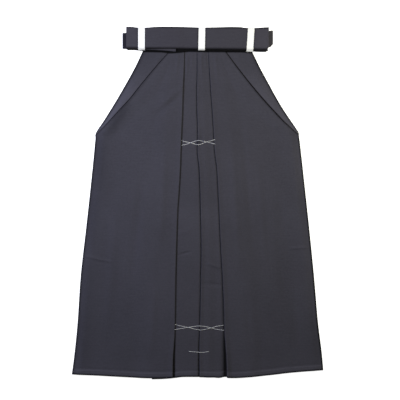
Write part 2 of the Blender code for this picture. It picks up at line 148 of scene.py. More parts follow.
# How deep the pleats and the turned side edge go under
DEPTHS = (
    ("y", "side_pleat", "centre_pleat", "turn"),
    (-492, 61, 22, 10),
    (CROTCH, 50, 18, 10),
    (SIDE_OPENING, 40, 14, 10),
    (330, 32, 12, 20),
    (430, 24, 12, 6),
)

# Bottom edges, each a line across the hem
HEM_LINES = (
    ("x", "panels", "strips"),
    (-352, -476.6, -490.2),
    (-271.7, -480.4, -490.2),
    (-204.8, -484.1, -490.2),
    (-137.8, -487.1, -490.2),
    (-104.3, -487, -489.6),
    (-70.9, -485.8, -487.4),
    (-37.4, -484.5, -483.6),
    (-3.9, -484.5, -483.4),
    (29.6, -485, -484.9),
    (46.3, -485.2, -485.2),
    (58, -485.3, -486.2),
    (66, -485.4, -485.6),
    (74, -485.5, -483.7),
    (100, -486.6, -483.4),
    (146.8, -484.1, -482),
    (213.7, -477.6, -478),
    (255, -472.6, -474),
    (352, -464.8, -470),
)

# How far a layer takes to settle past an edge beneath it, and from an open fold down to its pressed height
SETTLE_START = 3.0
PLEAT_SETTLE = 40.0
TURN_SETTLE = 46.0
CENTRE_SETTLE = 26.0
STAND_SETTLE = 18.0
LEAF_SETTLE = 12.0
CENTRE_STAND_SETTLE = 14.0
STAND_FALL = 1.5

# How far under a panel a strip takes the panel's relief, and where its painted shade becomes full
UNDER_FROM = 2.0
UNDER_EASE = 6.0
HIDDEN_EASE = 3.0

# The side seam's turned edge stops short of the outline, and the centre pleat's hidden end drops off the
# left strip's edge over a short tail
EDGE_INSET = 1.5
TAIL_START = 1.0
TAIL_DROP = 4.0
TAIL_END = 6.0

# Gussets: half their width at the crotch and at the hem, and how the layers above rise over them
GUSSET_TOP_WIDTH = 42.0
GUSSET_HEM_WIDTH = 140.0
GUSSET_LAYERS = 2
GUSSET_RISE_FROM = 145.0
GUSSET_RISE_WIDTH = 40.0
GUSSET_RISE_LENGTH = 58.0
GUSSET_CLEAR = 1.0
GUSSET_HEM_RISE = 4.0

# Backs: rise of the hem, and the hollows of their underside at the seams and creases
BACK_HEM_RISE = 3.0
BACK_SEAM_HOLLOW = 0.16
BACK_HEM_HOLLOW_WIDTH = 2.4
BACK_MIDDLE_HOLLOW_AT = 2.5
BACK_MIDDLE_HOLLOW_WIDTH = 1.4
BACK_CREASE_SHRINK = 0.9
BACK_CREASE_SHIFT = 18.0
BACK_CREASE_HOLLOW = 0.35
BACK_DEEPEST_HOLLOW = 0.36

# The unpressed cloth stands up softly inside its outline, and is pressed at its side edges and its hem
SOFT_LIFT = 2.4
SOFT_FLOOR = 0.5
SOFT_INSET = 26.0
ROLL_WIDTH = 50.0
ROLLS = (
    ("y", "left", "right"),
    (-492, 0.8, 0.8),
    (-340, 1.6, 1.2),
    (-150, 1.8, 1.6),
    (0, 2.4, 2.2),
    (110, 3.2, 2.8),
    (190, 3.2, 2.4),
    (240, 2, 1.2),
    (320, 0.6, 0.4),
    (430, 0, 0),
)
CREASE_INSET = 8.0
WAIST_CLEAR = 421.0
SOFT_BELOW_WAIST = 60.0
PRESSED_WIDTH = 5.0
PRESSED_SHARE = 0.22
SINK_CLEAR = 0.3

# Where across the garment the strips' hem lies under the panels
STRIPS_FROM = -140.0
STRIPS_TO = 150.0
STRIPS_EASE = 12.0

# The turned-up hem, the ridge of its inner edge and the trough above, and where creases fade out
HEM_DEPTH = 15.0
HEM_THICK = 0.7
HEM_RIDGE = 0.45
HEM_TROUGH = 0.5
HEM_SLOPE = 2.0
HEM_RIDGE_WIDTH = 2.2
HEM_TROUGH_ABOVE = 4.0
HEM_TROUGH_WIDTH = 2.6
CREASE_FADE = 0.7
CREASE_WAIST_EASE = 12.0
DEEPEST_CREASE = 0.8
SHARP_ANGLE = 50.0

# Painted shade in the rounds at the side edges and the hem, and under the ties, from 0 to 1. Below 0 it is
# # painted light: along the turned-up hem, and on the cloth behind the leaf folds towards their lower ends.
EDGE_SHADE = 0.8
RIGHT_EDGE_SHADE = 0.2
RIGHT_EDGE_SHADE_FROM = 60.0
RIGHT_EDGE_SHADE_LENGTH = 300.0
EDGE_SHADE_WIDTH = 3.3
HEM_SHADE = 1.0
HEM_SHADE_WIDTH = 4.6
HEM_LIT = 0.26
HEM_LIT_EASE = 2.5
ABOVE_HEM_LIT = 0.1
ABOVE_HEM_LIT_HEIGHT = 70.0
WAIST_SHADE_DEPTH = 3.0
WAIST_SHADE_LINE = (
    (-152, 422.6), (-100, 421.8), (-76, 418.8), (-50, 420.2), (-20, 423.6), (10, 422.6),
    (60, 422), (120, 421.8), (150, 419.4),
)

# Painted shade behind the leaf folds by height, painted light where below 0, along their rims, in their
# gaps, and of the hidden runs
LEAF_SHADES = (
    ("y", "left", "right"),
    (SIDE_OPENING, -0.75, -0.66),
    (240, -0.62, -0.54),
    (285, -0.42, -0.38),
    (340, -0.13, -0.2),
    (385, 0.07, 0.04),
    (430, 0.17, 0.08),
)
LEAF_RIM_SHADE = 0.92
LEAF_RIM_WIDTH = 5.4
LEAF_TIP_WIDTH = 2.8
LEAF_TIP_LENGTH = 40.0
HIDDEN_SHADE = 0.9
UNDER_SHADE = 0.8
INNER_SHADE = 0.6
LEAF_GAP_SHADE = 0.95
LEAF_GAP_REACH = 1.7
LEAF_SINK = 0.5
LEAF_SINK_WIDTH = 2.6

# Shade in the gaps beside the pleats, deeper towards the hem, and how far they darken and sink
GAP_SHADES = {"left": 0.45, "centre": 0.76, "right": 0.66}
GAP_SHADE_FROM = -325.0
GAP_SHADE_LENGTH = 90.0
GAP_SHADE_WIDTH = 0.62
GAP_SHADE_LEAST = 0.3
GAP_SINK_WIDTH = 0.8
GAP_SINK_LEAST = 1.2

# Shade on the ties: at their edges, beside the bands and at their ends, where lit counts the other way
TIE_EDGE_SHADE = 0.95
TIE_EDGE_SHADE_WIDTH = 8.5
TIE_TOP_SHADE = 0.55
TIE_TOP_SHADE_WIDTH = 4.5
BAND_SHADE = 0.4
BAND_SHADE_WIDTH = 3.5
LEFT_END_LIT = 0.09
LEFT_END_FROM = -160.0
RIGHT_END_LIT = 0.19
RIGHT_END_FROM = 156.0
END_LIT_EASE = 12.0
SHORT_RUN_SHADE = 0.35
SHORT_RUN_SHADE_LENGTH = 80.0
BACK_CORNER_SHADE = 0.9
BACK_CORNER_SHADE_EASE = 3.0
BACK_CORNER_SHADE_LAYERS = 3.4
BACK_CORNER_SHADE_TOP = 441.0
BACK_LEFT_SHADE = 0.42
BACK_RIGHT_LIT = 0.3

# Creases: soft troughs and ridges from one point to another. Height is up from the cloth, below 0 a trough.
CREASE_COLUMNS = ("from_x", "from_y", "to_x", "to_y", "width", "height")
CREASES = (
    (-316, -146, -236, -164, 4, 1.8),
    (252, -126, 312, -123, 3.4, 1.5),
    (-56, -144, -16, -134, 3.4, -1.6),
    (28, -165, 64, -181, 4.4, 2),
    (8, -222, 72, -228, 5, -1.4),
    (-58, -84, -14, -74, 5, 1.3),
    (-44, 307, -122, 243, 8, -2.4),
    (-38, 326, -104, 268, 9, 2),
    (-42, 275, -16, 262, 3.6, 1.2),
    (-38, 344, 31, 342, 4, -0.9),
    (182, 183, 246, 166, 4, 1.3),
    (196, 171, 238, 158, 4, 0.9),
    (208, 216, 230, 213, 4, 1),
    (324, -190, 337, -410, 6, 0.8),
    (-26, 428, -31, 340, 3.4, 0.9),
    (-14, 430, -15, 362, 2.8, 0.8),
    (10, 430, 12, 350, 3.2, 0.9),
    (22, 428, 24, 372, 2.6, 0.7),
    (-52, 430, -60, 352, 4.5, 1),
    (48, 430, 58, 330, 5, 1),
    (-96, 428, -118, 380, 5, 0.9),
    (104, 428, 128, 372, 5, 0.9),
    (92, 210, 118, -190, 9, 1.8),
    (124, 230, 158, -160, 9, -1.3),
    (168, 120, 190, -180, 9, 1.7),
    (228, 60, 250, -330, 14, -1.9),
    (-88, 170, -104, -130, 9, 1.7),
    (-150, 90, -181, -210, 12, -2.2),
    (-228, -10, -252, -380, 12, 1.8),
    (-118, -230, -131, -430, 9, 1.6),
    (136, -250, 149, -440, 9, -1.7),
    (262, -200, 281, -420, 12, -1.7),
)

# Soft shade in the hollows beside the folds and rolls, above 0, and the lit sides of the rolls, below 0
SOFT_SHADES = (
    (-281, 30, -270, 214, 21, 0.3),
    (-259, 184, -184, 288, 13, 0.34),
    (-300, -140, -282, 70, 16, 0.2),
    (-322, -470, -302, -120, 15, 0.14),
    (-58, 296, -116, 248, 8, 0.08),
    (274, 196, 298, -20, 15, -0.26),
    (292, 20, 324, -330, 12, -0.16),
    (-3, 171.4, 15, 171.2, 3, 0.6),
    (-2, 184, 16, 182, 6, 0.16),
    (-9, 158, 4, 160, 4, 0.2),
)

# Broad waves of the laid cloth: length across, length along, slant and height
WAVES = (
    ("across", "along", "phase", "height"),
    (263, 610, 0.4, 0.8),
    (119, -730, 2.1, 0.35),
    (410, 287, 4, 0.8),
)

# Ties: runs from one free end to the other, each at a level of the stack. Run 1 is the waistband, which
# lies straight over the waist and turns up from there on: turns_at is the share of a run where it does.
FRONT_TIE_WIDTH = 62.0
BACK_TIE_WIDTH = 44.0
BACK_TIE_EDGE = 433.0
BACK_TIE_SKEW = 0.011
BACK_TIE_LAYERS = 5
FRONT_TIE_BASE = BACK_TIE_LAYERS * TIE_LAYER
WAIST_RISE = FRONT_TIE_BASE - SEAM - SOLID_CLOTH - 3 * LAYER
RUN_COLUMNS = ("level", "from_x", "to_x", "from_y", "to_y", "turns_at")
FRONT_TIE_RUNS = (
    (5, -60, -189, 453.2, 459.6, 0),
    (4, -189, 188, 458.8, 455.6, 0),
    (3, 188, -186, 455.4, 458.9, 0),
    (2, -186, 192, 458.9, 454.9, 0),
    (1, 192, -195, 454.5, 459, 0.86),
    (6, -195, 196, 459, 455.3, 0),
    (7, 196, -193, 455.2, 459, 0),
    (8, -193, 198.5, 459, 455, 0),
    (9, 198.5, -197.5, 455, 459, 0),
)
BACK_TIE_RUNS = (
    (2, 196, -201, 457.2, 452.8, 0),
    (1, -201, 211, 452.8, 457.3, 0),
    (0, 211, -209, 457.3, 452.7, 0),
    (3, -209, 209, 452.7, 457.3, 0),
    (4, 209, -205, 457.3, 452.7, 0),
)
FIRST_FOLDED_RUN = 2
SHORT_RUN = 5
SHORT_RUN_END = FRONT_TIE_RUNS[0][1]
SHORT_RUN_SETTLE = 30.0
TIE_BOW = 1.8
SHORT_RUN_SLANT = 2.3
SHORT_RUN_SLANT_FROM = -140.0
SHORT_RUN_SLANT_LENGTH = 80.0

# Trim of the folded ties' upper and lower edges along the stack, which the paper bands draw in
STACK_TRIM = (
    (-197.5, 0.6, -1.9),
    (-188, 0.4, -1.8),
    (-180, 0, -1.2),
    (-171, -1.5, -0.7),
    (-154, -2.3, -0.4),
    (-140, -2.3, -0.2),
    (-118, -0.6, 0),
    (-100, 0, 0),
    (44, 0, 0),
    (64, 0.3, 0),
    (91, 1.2, 0),
    (119, 1.6, 0),
    (133, 0.2, 0),
    (148, 0.3, -0.6),
    (166, 1, -1.8),
    (180, 2.3, -2.2),
    (198.5, 3.4, -2),
)
TIE_FOLD_POINTS = 11
TIE_RUN_POINTS = 64
TIE_WIDTH_POINTS = 22
TIE_EDGE_POINTS = 5

# Cut-off lower corners at the right ends of the ties: start, length, height and the lowest run that has it
FRONT_TIE_CORNER = (192.0, 6.0, 10.0, 8)
BACK_TIE_CORNER = (202.8, 9.0, 9.5, 0)

# The back tie's upper edge rises a little towards its right end
BACK_END_FLARE = 2.6
BACK_END_FLARE_FROM = 192.0
BACK_END_FLARE_EASE = 18.0

# Paper bands: middle, width, and lean to the right
BANDS = (
    ("paper_band_left", -155, 18.4, 0),
    ("paper_band_centre", 12.2, 18.2, 0.02),
    ("paper_band_right", 147.6, 18, 0.06),
)
BAND_SIDE_POINTS = 48
BAND_ACROSS_POINTS = 9
BAND_CORNER_POINTS = 6
BAND_CORNER = 1.2
BAND_ROOM = 0.4
BAND_ABOVE_WAIST = 0.1
BAND_REACH = 8.0
BAND_SHARP_ANGLE = 40.0

# The stack of folded ties: its lower and upper edges on the middle line, their lean, and how they round off
STACK_LOW = 425.8
STACK_HIGH = 487.9
STACK_LEAN = -0.0093
STACK_BOTTOM = FRONT_TIE_BASE + SOLID_TIE + SEAM
STACK_HEIGHT = 13.6
LOW_ROUND = 5.5
LOW_ROUND_SWELL = 2.5
LOW_DROP = 4.2
HIGH_ROUND = 4.0
HIGH_DROP = 1.8
CROWN = 1.2
CROWN_AT_BANDS = 0.4
ROUND_REACH = 1.4
LOW_STEP_BACK = 1.6

# Levels along Y at which a strip has its points, and how far from a folded edge it has them across
ROW_STEP = 5.4
LEAST_STEP = 0.4
ROWS_FROM = 27.0
ABOVE_HEM = (0.0, 0.5, 1.2, 2.1, 3.2, 4.5, 6.0, 7.6, 9.2, 10.8, 12.2, 13.6, 15.0, 16.6, 18.4, 20.6, 23.4)
FINER_ROWS = (
    (-232, -216, 2.2),
    (-188, -118, 1.7),
    (156, 186, 2),
    (209, 220, 1.8),
    (258, 280, 2.2),
    (408, 429, 1.5),
)
NEAR_EDGE = (0.4, 0.9, 1.5, 2.2, 3.0, 4.0, 5.2, 6.6, 8.2, 10.2, 12.6, 15.4, 18.8, 23.0, 28.0)
FOLD_POINTS = 9
EVEN_SHARE = 0.06

# How many even points each run of a piece has across it
UNDER_POINTS = 10
PANEL_POINTS = 52
LEAF_INWARD_POINTS = 8
LEAF_OUTWARD_POINTS = 14
STRIP_POINTS = 24
BACK_POINTS = 56
GUSSET_POINTS = 14
GUSSET_ROWS = 40

# Basting threads: name, lift and places along it, drawn as a smooth line, with both ends in the cloth. The
# lift is how far a thread is above the cloth, to pass over the other one.
THREAD_RADIUS = 0.47
THREAD_STEP = 0.45
THREAD_SAMPLES = 400
THREAD_SIDES = 10
THREAD_TWIST = 3.2
THREAD_SWELL = 0.2
THREAD_DIVE = 1.6
THREAD_REST = 0.8
THREAD_LIFT_LENGTH = 12.0
THREAD_BRIDGE_REACH = 30
THREAD_SMOOTH_REACH = 6
THREAD_SHARP_ANGLE = 80.0
THREADS = (
    ("basting_upper_over", 1.0, (
        (-44.4, 175.2), (-35, 172), (-19, 168.9), (2, 163.4), (25.7, 171), (50, 178),
    )),
    ("basting_upper_under", 0.0, (
        (-44.8, 162), (-35, 163.6), (-19, 168.9), (2, 174.8), (25.7, 171), (50.4, 165),
    )),
    ("basting_lower_over", 1.0, (
        (-63, -336.4), (-48, -340.6), (-25.4, -345), (7.3, -352), (38.5, -346.4), (52, -342.6),
        (74, -339),
    )),
    ("basting_lower_under", 0.0, (
        (-63.4, -351), (-48, -348.8), (-25.4, -345), (7.3, -341), (38.5, -346.4), (52, -350.4),
        (75, -353.8),
    )),
    ("basting_hem", 0.0, (
        (-24.3, -411.9), (-10, -412.9), (4, -414.1), (18, -414), (31.8, -411.9),
    )),
)

# Camera straight above, at the photograph's framing, and the light: a softbox over the top left, a weaker
# one at the right, and an even surround
CAMERA_PLACE = (0.00725, 0.0095, 3.5)
SENSOR = 36.0
FRAME_WIDTH = 1.116
TABLE_HALF = 4.0
TABLE_GLOW = 0.9
SURROUND = 0.15
LIGHTS = (
    ("name", "place", "towards", "size", "power", "colour"),
    ("softbox_left", (-0.985, 0.452, 0.851), (-0.05, 0.08, 0.0), 0.5, 15.1, (0.72, 0.77, 0.99)),
    ("softbox_right", (0.385, 0.414, 1.011), (0.05, 0.08, 0.0), 0.5, 7.4, (1.0, 0.97, 0.76)),
)

# Colours as sRGB hex, from the photograph under its soft light
CLOTH_DARK = "3b3a42"
CLOTH_LIGHT = "42414a"
TIE_DARK = "3a3840"
TIE_LIGHT = "403f47"
PAPER_DARK = "f6f6f4"
PAPER_WHITE = "fbfbfa"
THREAD_DARK = "cfcfd2"
THREAD_WHITE = "e4e4e6"
TABLE_WHITE = "f2f2f2"

# Weave: its pitch, the scales of slub and mottle, the sums at which the cloth has its dark and its light
# colour, the least light kept under full painted shade, and the depth of its tooth
WEAVE_PITCH = 0.6
SLUB_SCALE = (34.0, 330.0, 1.0)
BROAD_SCALE = 7.0
GRAIN_SCALE = 170.0
DARK_AT = 1.12
LIGHT_AT = 1.88
LEAST_LIGHT = 0.05
WEAVE_BUMP = 0.00025


def ease(t):
    """0 up to t = 0 and 1 from t = 1, with a level start and end between: 3t^2 - 2t^3."""
    t = np.clip(t, 0.0, 1.0)
    return t * t * (3.0 - 2.0 * t)


def hump(distance, width):
    """A bell: e to the minus square of distance over width."""
    return np.exp(-((distance / width) ** 2))


def smooth(at, knots, values):
    """Cubic through the knots. Its slope at a knot is the harmonic mean of the slopes beside it, or
    level at a turning point, so that it never overshoots and a corner stays crisp."""
    knots, values = np.asarray(knots), np.asarray(values)
    step = np.diff(knots)
    slope = np.diff(values) / step
    before, after = slope[:-1], slope[1:]
    turning = before * after <= 0.0
    inner = np.where(turning, 0.0, 2.0 * before * after / np.where(turning, 1.0, before + after))
    tangent = np.concatenate([slope[:1], inner, slope[-1:]])
    at = np.clip(at, knots[0], knots[-1])
    i = np.clip(np.searchsorted(knots, at) - 1, 0, len(step) - 1)
    t = (at - knots[i]) / step[i]
    rise = values[i + 1] - values[i]
    start, end = tangent[i] * step[i], tangent[i + 1] * step[i]
    return values[i] + t * start + t * t * (3 * rise - 2 * start - end) + t**3 * (start + end - 2 * rise)


def column(table, name, at):
    """A column of a table, by its name in the table's first row, read at a place along the first column."""
    rows = np.array(table[1:])
    return smooth(at, rows[:, 0], rows[:, table[0].index(name)])


def named_rows(columns, rows):
    """Each row as values by the names of its columns."""
    return [dict(zip(columns, row)) for row in rows]


outline = partial(column, OUTLINE)
pleat = partial(column, PLEATS)
gap = partial(column, GAPS)
stand = partial(column, STANDS)
depth = partial(column, DEPTHS)
hem_line = partial(column, HEM_LINES)


def near_hem(y):
    """0 above the lowest part of the cloth, and on to 1 at the hem."""
    return ease((HEM_FROM - y) / (HEM_FROM - HEM))


def from_sides(x, y):
    """Distances in from the left side and from the right side of the outline."""
    return x - outline("side_left", y), outline("side_right", y) - x


def at_hem(y, x, hem):
    """Y of each point: the row's own level, drawn to the hem line over the lowest part of the cloth."""
    return y + near_hem(y) * (hem_line(hem, x) - HEM)


def over(dark, shade):
    """A shade laid over another, which stays below 0 where it was and no shade lies over it."""
    return dark * (1.0 - shade) + shade


def crease_relief(x, y, table=CREASES):
    """Each crease is a bell across its line, by the distance to the nearest point on it, and its height
    dies away towards both ends as a sine. The table may also be of shades, with an amount for a height."""
    total = np.zeros(np.broadcast_shapes(np.shape(x), np.shape(y)))
    for crease in named_rows(CREASE_COLUMNS, table):
        run_x, run_y = crease["to_x"] - crease["from_x"], crease["to_y"] - crease["from_y"]
        along = ((x - crease["from_x"]) * run_x + (y - crease["from_y"]) * run_y) / (run_x**2 + run_y**2)
        along = np.clip(along, 0.0, 1.0)
        away = np.hypot(x - crease["from_x"] - along * run_x, y - crease["from_y"] - along * run_y)
        bell = hump(away, crease["width"])
        total = total + crease["height"] * np.sin(math.pi * along) ** CREASE_FADE * bell
    return total


def wave_relief(x, y):
    """Broad plane waves, each a sine of x over one length plus y over another."""
    total = 0.0
    for wave in named_rows(WAVES[0], WAVES[1:]):
        turn = 2.0 * math.pi * (x / wave["across"] + y / wave["along"]) + wave["phase"]
        total = total + wave["height"] * np.sin(turn)
    return total


def relief(x, y):
    """What lifts every layer of the front alike: softness inside the outline with a roll along each side,
    waves, creases and the turned-up hem, whose inner edge is a ridge with a pressed trough above it."""
    from_left, from_right = from_sides(x, y)
    inset = np.minimum(from_left, from_right)
    inward = ease(inset / SOFT_INSET) * ease((WAIST_RISE_FROM - y) / SOFT_BELOW_WAIST)
    roll = 0.0
    for name, inside in (("left", from_left), ("right", from_right)):
        roll = roll + column(ROLLS, name, y) * ease(1.0 - (inside - SOFT_INSET) / ROLL_WIDTH)
    above_fold = y - HEM - HEM_DEPTH
    turned_up = HEM_THICK * ease((HEM_SLOPE - above_fold) / (2.0 * HEM_SLOPE))
    turned_up = turned_up + HEM_RIDGE * hump(above_fold + HEM_SLOPE, HEM_RIDGE_WIDTH)
    turned_up = turned_up - HEM_TROUGH * hump(above_fold - HEM_TROUGH_ABOVE, HEM_TROUGH_WIDTH) * inward
    soft = SOFT_LIFT + wave_relief(x, y)
    soft = inward * (roll + (soft + np.sqrt(soft * soft + SOFT_FLOOR)) / 2.0)
    at_edge = ease(inset / CREASE_INSET) * ease((WAIST_CLEAR - y) / CREASE_WAIST_EASE)
    return soft + np.maximum(crease_relief(x, y) * at_edge, -DEEPEST_CREASE * soft) + turned_up


def flat_height(level, x, y):
    """Middle of a layer as it is in the solids: its level, counted up from the back, over the gussets and
    up to the waist."""
    over_gusset = ease((GUSSET_RISE_FROM + GUSSET_RISE_WIDTH - np.abs(x)) / GUSSET_RISE_WIDTH)
    below_crotch = ease((CROTCH + GUSSET_RISE_LENGTH - y) / GUSSET_RISE_LENGTH)
    to_waist = ease((y - WAIST_RISE_FROM) / (STRAP_EDGE - WAIST_RISE_FROM))
    level = level + GUSSET_LAYERS * over_gusset * below_crotch
    return SOLID_CLOTH / 2 + LAYER * level + WAIST_RISE * to_waist


def height(level, x, y):
    """Middle of a layer with the soft relief of the whole front."""
    return flat_height(level, x, y) + relief(x, y)


def sunk(level, x, y, sink):
    """Middle of a layer that sinks in its gaps, but hardly below its flat height, to clear the next one."""
    return np.maximum(height(level, x, y) - sink, flat_height(level, x, y) - SINK_CLEAR)


def pressed(x, y, level, z):
    """The layers above the back lie closer at the side edges and at the hem, by a square law. The hem is
    the lower of the two hem lines where the centre strips lie under the panels."""
    panels = hem_line("panels", x)
    over_strips = ease((x - STRIPS_FROM) / STRIPS_EASE) * ease((STRIPS_TO - x) / STRIPS_EASE)
    bottom = panels + np.minimum(hem_line("strips", x) - panels, 0.0) * over_strips
    nearest = np.minimum(np.minimum(*from_sides(x, y)), level - bottom)
    share = PRESSED_SHARE * np.clip(1.0 - nearest / PRESSED_WIDTH, 0.0, 1.0) ** 2
    return np.where(z > CLOTH, CLOTH + (z - CLOTH) * (1.0 - share), z)


def garment_rows():
    """Levels down the garment: every few millimetres, and closer over the hem and the fine creases."""
    body = np.arange(HEM + ROWS_FROM, FRONT_TOP, ROW_STEP)
    finer = [np.arange(low, high, step) for low, high, step in FINER_ROWS]
    rows = np.unique(np.concatenate([HEM + np.array(ABOVE_HEM), body, *finer, [FRONT_TOP]]))
    clear = np.concatenate([np.diff(rows) > LEAST_STEP, [True]])
    return rows[clear][::-1, None]


def near(count=len(NEAR_EDGE)):
    """The first so many distances from a folded edge, as a row."""
    return np.array(NEAR_EDGE[:count])[None]


def spread(first, last, count, *marks):
    """Points from first to last in each row: evenly placed ones and the marks, sorted, and mixed with a
    small share of plain even spacing so that no two lie on each other."""
    places = [first + (last - first) * np.linspace(0.0, 1.0, count)]
    places += [np.clip(mark, np.minimum(first, last), np.maximum(first, last)) for mark in marks]
    gathered = np.sort(np.concatenate(places, axis=1), axis=1)
    gathered = gathered[:, ::-1] if first[0, 0] > last[0, 0] else gathered
    even = first + (last - first) * np.linspace(0.0, 1.0, gathered.shape[1])
    return (1.0 - EVEN_SHARE) * gathered + EVEN_SHARE * even


def folded(runs):
    """A strip through its runs, each a trio of arrays: places across, heights and painted shade. The end of
    a run and the start of the next lie above each other, and half a circle joins them."""
    across, up, dark = [[values] for values in runs[0]]
    turn = np.linspace(0.0, math.pi, FOLD_POINTS + 2)[1:-1]
    share = (1.0 - np.cos(turn)) / 2
    for (from_x, from_z, from_dark), (to_x, to_z, to_dark) in zip(runs, runs[1:]):
        middle = (from_z[:, -1:] + to_z[:, :1]) / 2
        radius = np.abs(from_z[:, -1:] - to_z[:, :1]) / 2
        onward = np.sign(from_x[:, -1:] - from_x[:, -2:-1])
        across += [from_x[:, -1:] + onward * radius * np.sin(turn), to_x]
        up += [middle + (from_z[:, -1:] - middle) * np.cos(turn), to_z]
        dark += [from_dark[:, -1:] * (1.0 - share) + to_dark[:, :1] * share, to_dark]
    return [np.concatenate(part, axis=1) for part in (across, up, dark)]


def square_to(across, up):
    """Unit steps square to a line, or to each row of a grid, by the differences along it."""
    along_x, along_z = np.gradient(across, axis=-1), np.gradient(up, axis=-1)
    length = np.hypot(along_x, along_z)
    return -along_z / length, along_x / length


def travelled(*places):
    """Distance gone at each point of a line, or of each row of a grid, from its coordinates."""
    steps = np.linalg.norm(np.diff(np.stack(places), axis=-1), axis=0)
    return np.concatenate([np.zeros((*steps.shape[:-1], 1)), np.cumsum(steps, axis=-1)], axis=-1)


def shell_faces(rows, points):
    """Quads over both faces of a strip of rows by points, and round its four edges."""
    grid = np.arange(rows * points).reshape(rows, points)
    other = grid + rows * points
    near = np.stack([grid[:-1, :-1], grid[:-1, 1:], grid[1:, 1:], grid[1:, :-1]], axis=-1)
    far = np.stack([other[:-1, :-1], other[1:, :-1], other[1:, 1:], other[:-1, 1:]], axis=-1)
    rim = np.concatenate([grid[0, :-1], grid[:-1, -1], grid[-1, :0:-1], grid[:0:-1, 0]])
    after = np.roll(rim, -1)
    edges = np.stack([after, rim, rim + rows * points, after + rows * points], axis=-1)
    return np.concatenate([near.reshape(-1, 4), far.reshape(-1, 4), edges])


def ring_faces(rings, sides):
    """Quads between closed rings of points, one after the other along a piece."""
    grid = np.arange(rings * sides).reshape(rings, sides)
    after = np.roll(grid, -1, axis=1)
    return np.stack([grid[:-1], after[:-1], after[1:], grid[1:]], axis=-1).reshape(-1, 4)


def tube_faces(rings, sides):
    """Quads along a tube, and a fan of triangles over each end, round the two points that come after the
    rings."""
    ring = np.arange(sides)
    after, last = np.roll(ring, -1), (rings - 1) * sides
    first_fan = np.stack([after, ring, np.full(sides, rings * sides)], axis=-1)
    last_fan = np.stack([ring + last, after + last, np.full(sides, rings * sides + 1)], axis=-1)
    return [ring_faces(rings, sides), np.concatenate([first_fan, last_fan])]


def outwards(points, groups):
    """Groups of faces, turned over if the volume that they enclose comes out negative: a sixth of the sum
    over their triangles of the corners' triple product."""
    total = 0.0
    for faces in groups:
        corners = points[faces]
        for second in range(1, faces.shape[1] - 1):
            a, b, c = corners[:, 0], corners[:, second], corners[:, second + 1]
            total += float(np.einsum("ij,ij->i", np.cross(a, b), c).sum())
    return groups if total > 0.0 else [faces[:, ::-1] for faces in groups]


def add_object(name, data):
    """An object with this data in the scene."""
    made = bpy.data.objects.new(name, data)
    bpy.context.scene.collection.objects.link(made)
    return made


def add_piece(name, points, groups, uv, dark, look, sharp=SHARP_ANGLE):
    """One closed mesh from points in millimetres and groups of faces, quads before triangles, with its own
    UV map in metres and its painted shade, which is painted light below 0."""
    faces = [face for group in outwards(points, groups) for face in group.tolist()]
    mesh = bpy.data.meshes.new(name)
    mesh.from_pydata((points * MM).tolist(), [], faces)
    corner = np.empty(len(mesh.loops), dtype=np.int32)
    mesh.loops.foreach_get("vertex_index", corner)
    layer = mesh.uv_layers.new(name="cut")
    layer.data.foreach_set("uv", (uv[corner] * MM).astype(np.float32).ravel())
    # The attribute holds the painted shade, and painted light where it is below 0
    shade = mesh.attributes.new("painted_shade", "FLOAT", "POINT")
    shade.data.foreach_set("value", dark.astype(np.float32))
    mesh.shade_smooth()
    mesh.set_sharp_from_angle(angle=math.radians(sharp))
    mesh.materials.append(look)
    piece = add_object(name, mesh)
    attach(piece, "root")
    return piece


def strip_dark(dark, x, y, shades):
    """Adds to the painted shade of a strip's gaps and folds: painted shade in the round at its hem, painted
    light on the turned-up hem, the soft painted shades and lights, and the painted shade under the ties."""
    dark = over(dark, HEM_SHADE * hump(y - HEM, HEM_SHADE_WIDTH))
    lit = HEM_LIT * ease((HEM + HEM_DEPTH + 1.0 - y) / HEM_LIT_EASE)
    lit = lit + ABOVE_HEM_LIT * ease(1.0 - (y - HEM) / ABOVE_HEM_LIT_HEIGHT)
    dark = dark + (crease_relief(x, y, shades) - lit) * (1.0 - np.clip(dark, 0.0, 1.0))
    line_x, line_y = np.array(WAIST_SHADE_LINE).T
    return over(dark, ease((y - smooth(x, line_x, line_y)) / WAIST_SHADE_DEPTH + 1.0))


def add_strip(node, runs, y, hem, look, shades=SOFT_SHADES):
    """A cloth piece from its folded rows, with its bottom on a hem line, in place of the node's solid.
    Its two faces are half the cloth from its middle, square to it in each row."""
    across, up, dark = folded(runs)
    rows, points = across.shape
    level = at_hem(y, across, hem)
    faces = []
    for half in (CLOTH / 2, -CLOTH / 2):
        off_x, off_z = square_to(across, up)
        x, z = across + half * off_x, up + half * off_z
        faces.append(np.stack([x, level, pressed(x, y, level, z)], axis=-1).reshape(-1, 3))
    gone = travelled(across, up)
    uv = np.stack([gone - gone[:, points // 2:points // 2 + 1], level], axis=-1).reshape(-1, 2)
    dark = np.tile(strip_dark(dark, across, y, shades).ravel(), 2)
    both, quads = np.concatenate(faces), [shell_faces(rows, points)]
    piece = add_piece(f"{node}_cloth", both, quads, np.tile(uv, (2, 1)), dark, look)
    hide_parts(node)


def sink_at(line, name, x, y):
    """How far the cloth sinks in a gap, and the painted shade there: a bell over the gap's width."""
    shade = GAP_SHADES[name]
    deepest = shade + (1.0 - shade) * ease((GAP_SHADE_FROM - y) / GAP_SHADE_LENGTH)
    dark = deepest * hump(x - line, GAP_SHADE_WIDTH * gap(name, y) + GAP_SHADE_LEAST)
    return stand("sink", y) * hump(x - line, GAP_SINK_WIDTH * gap(name, y) + GAP_SINK_LEAST), dark


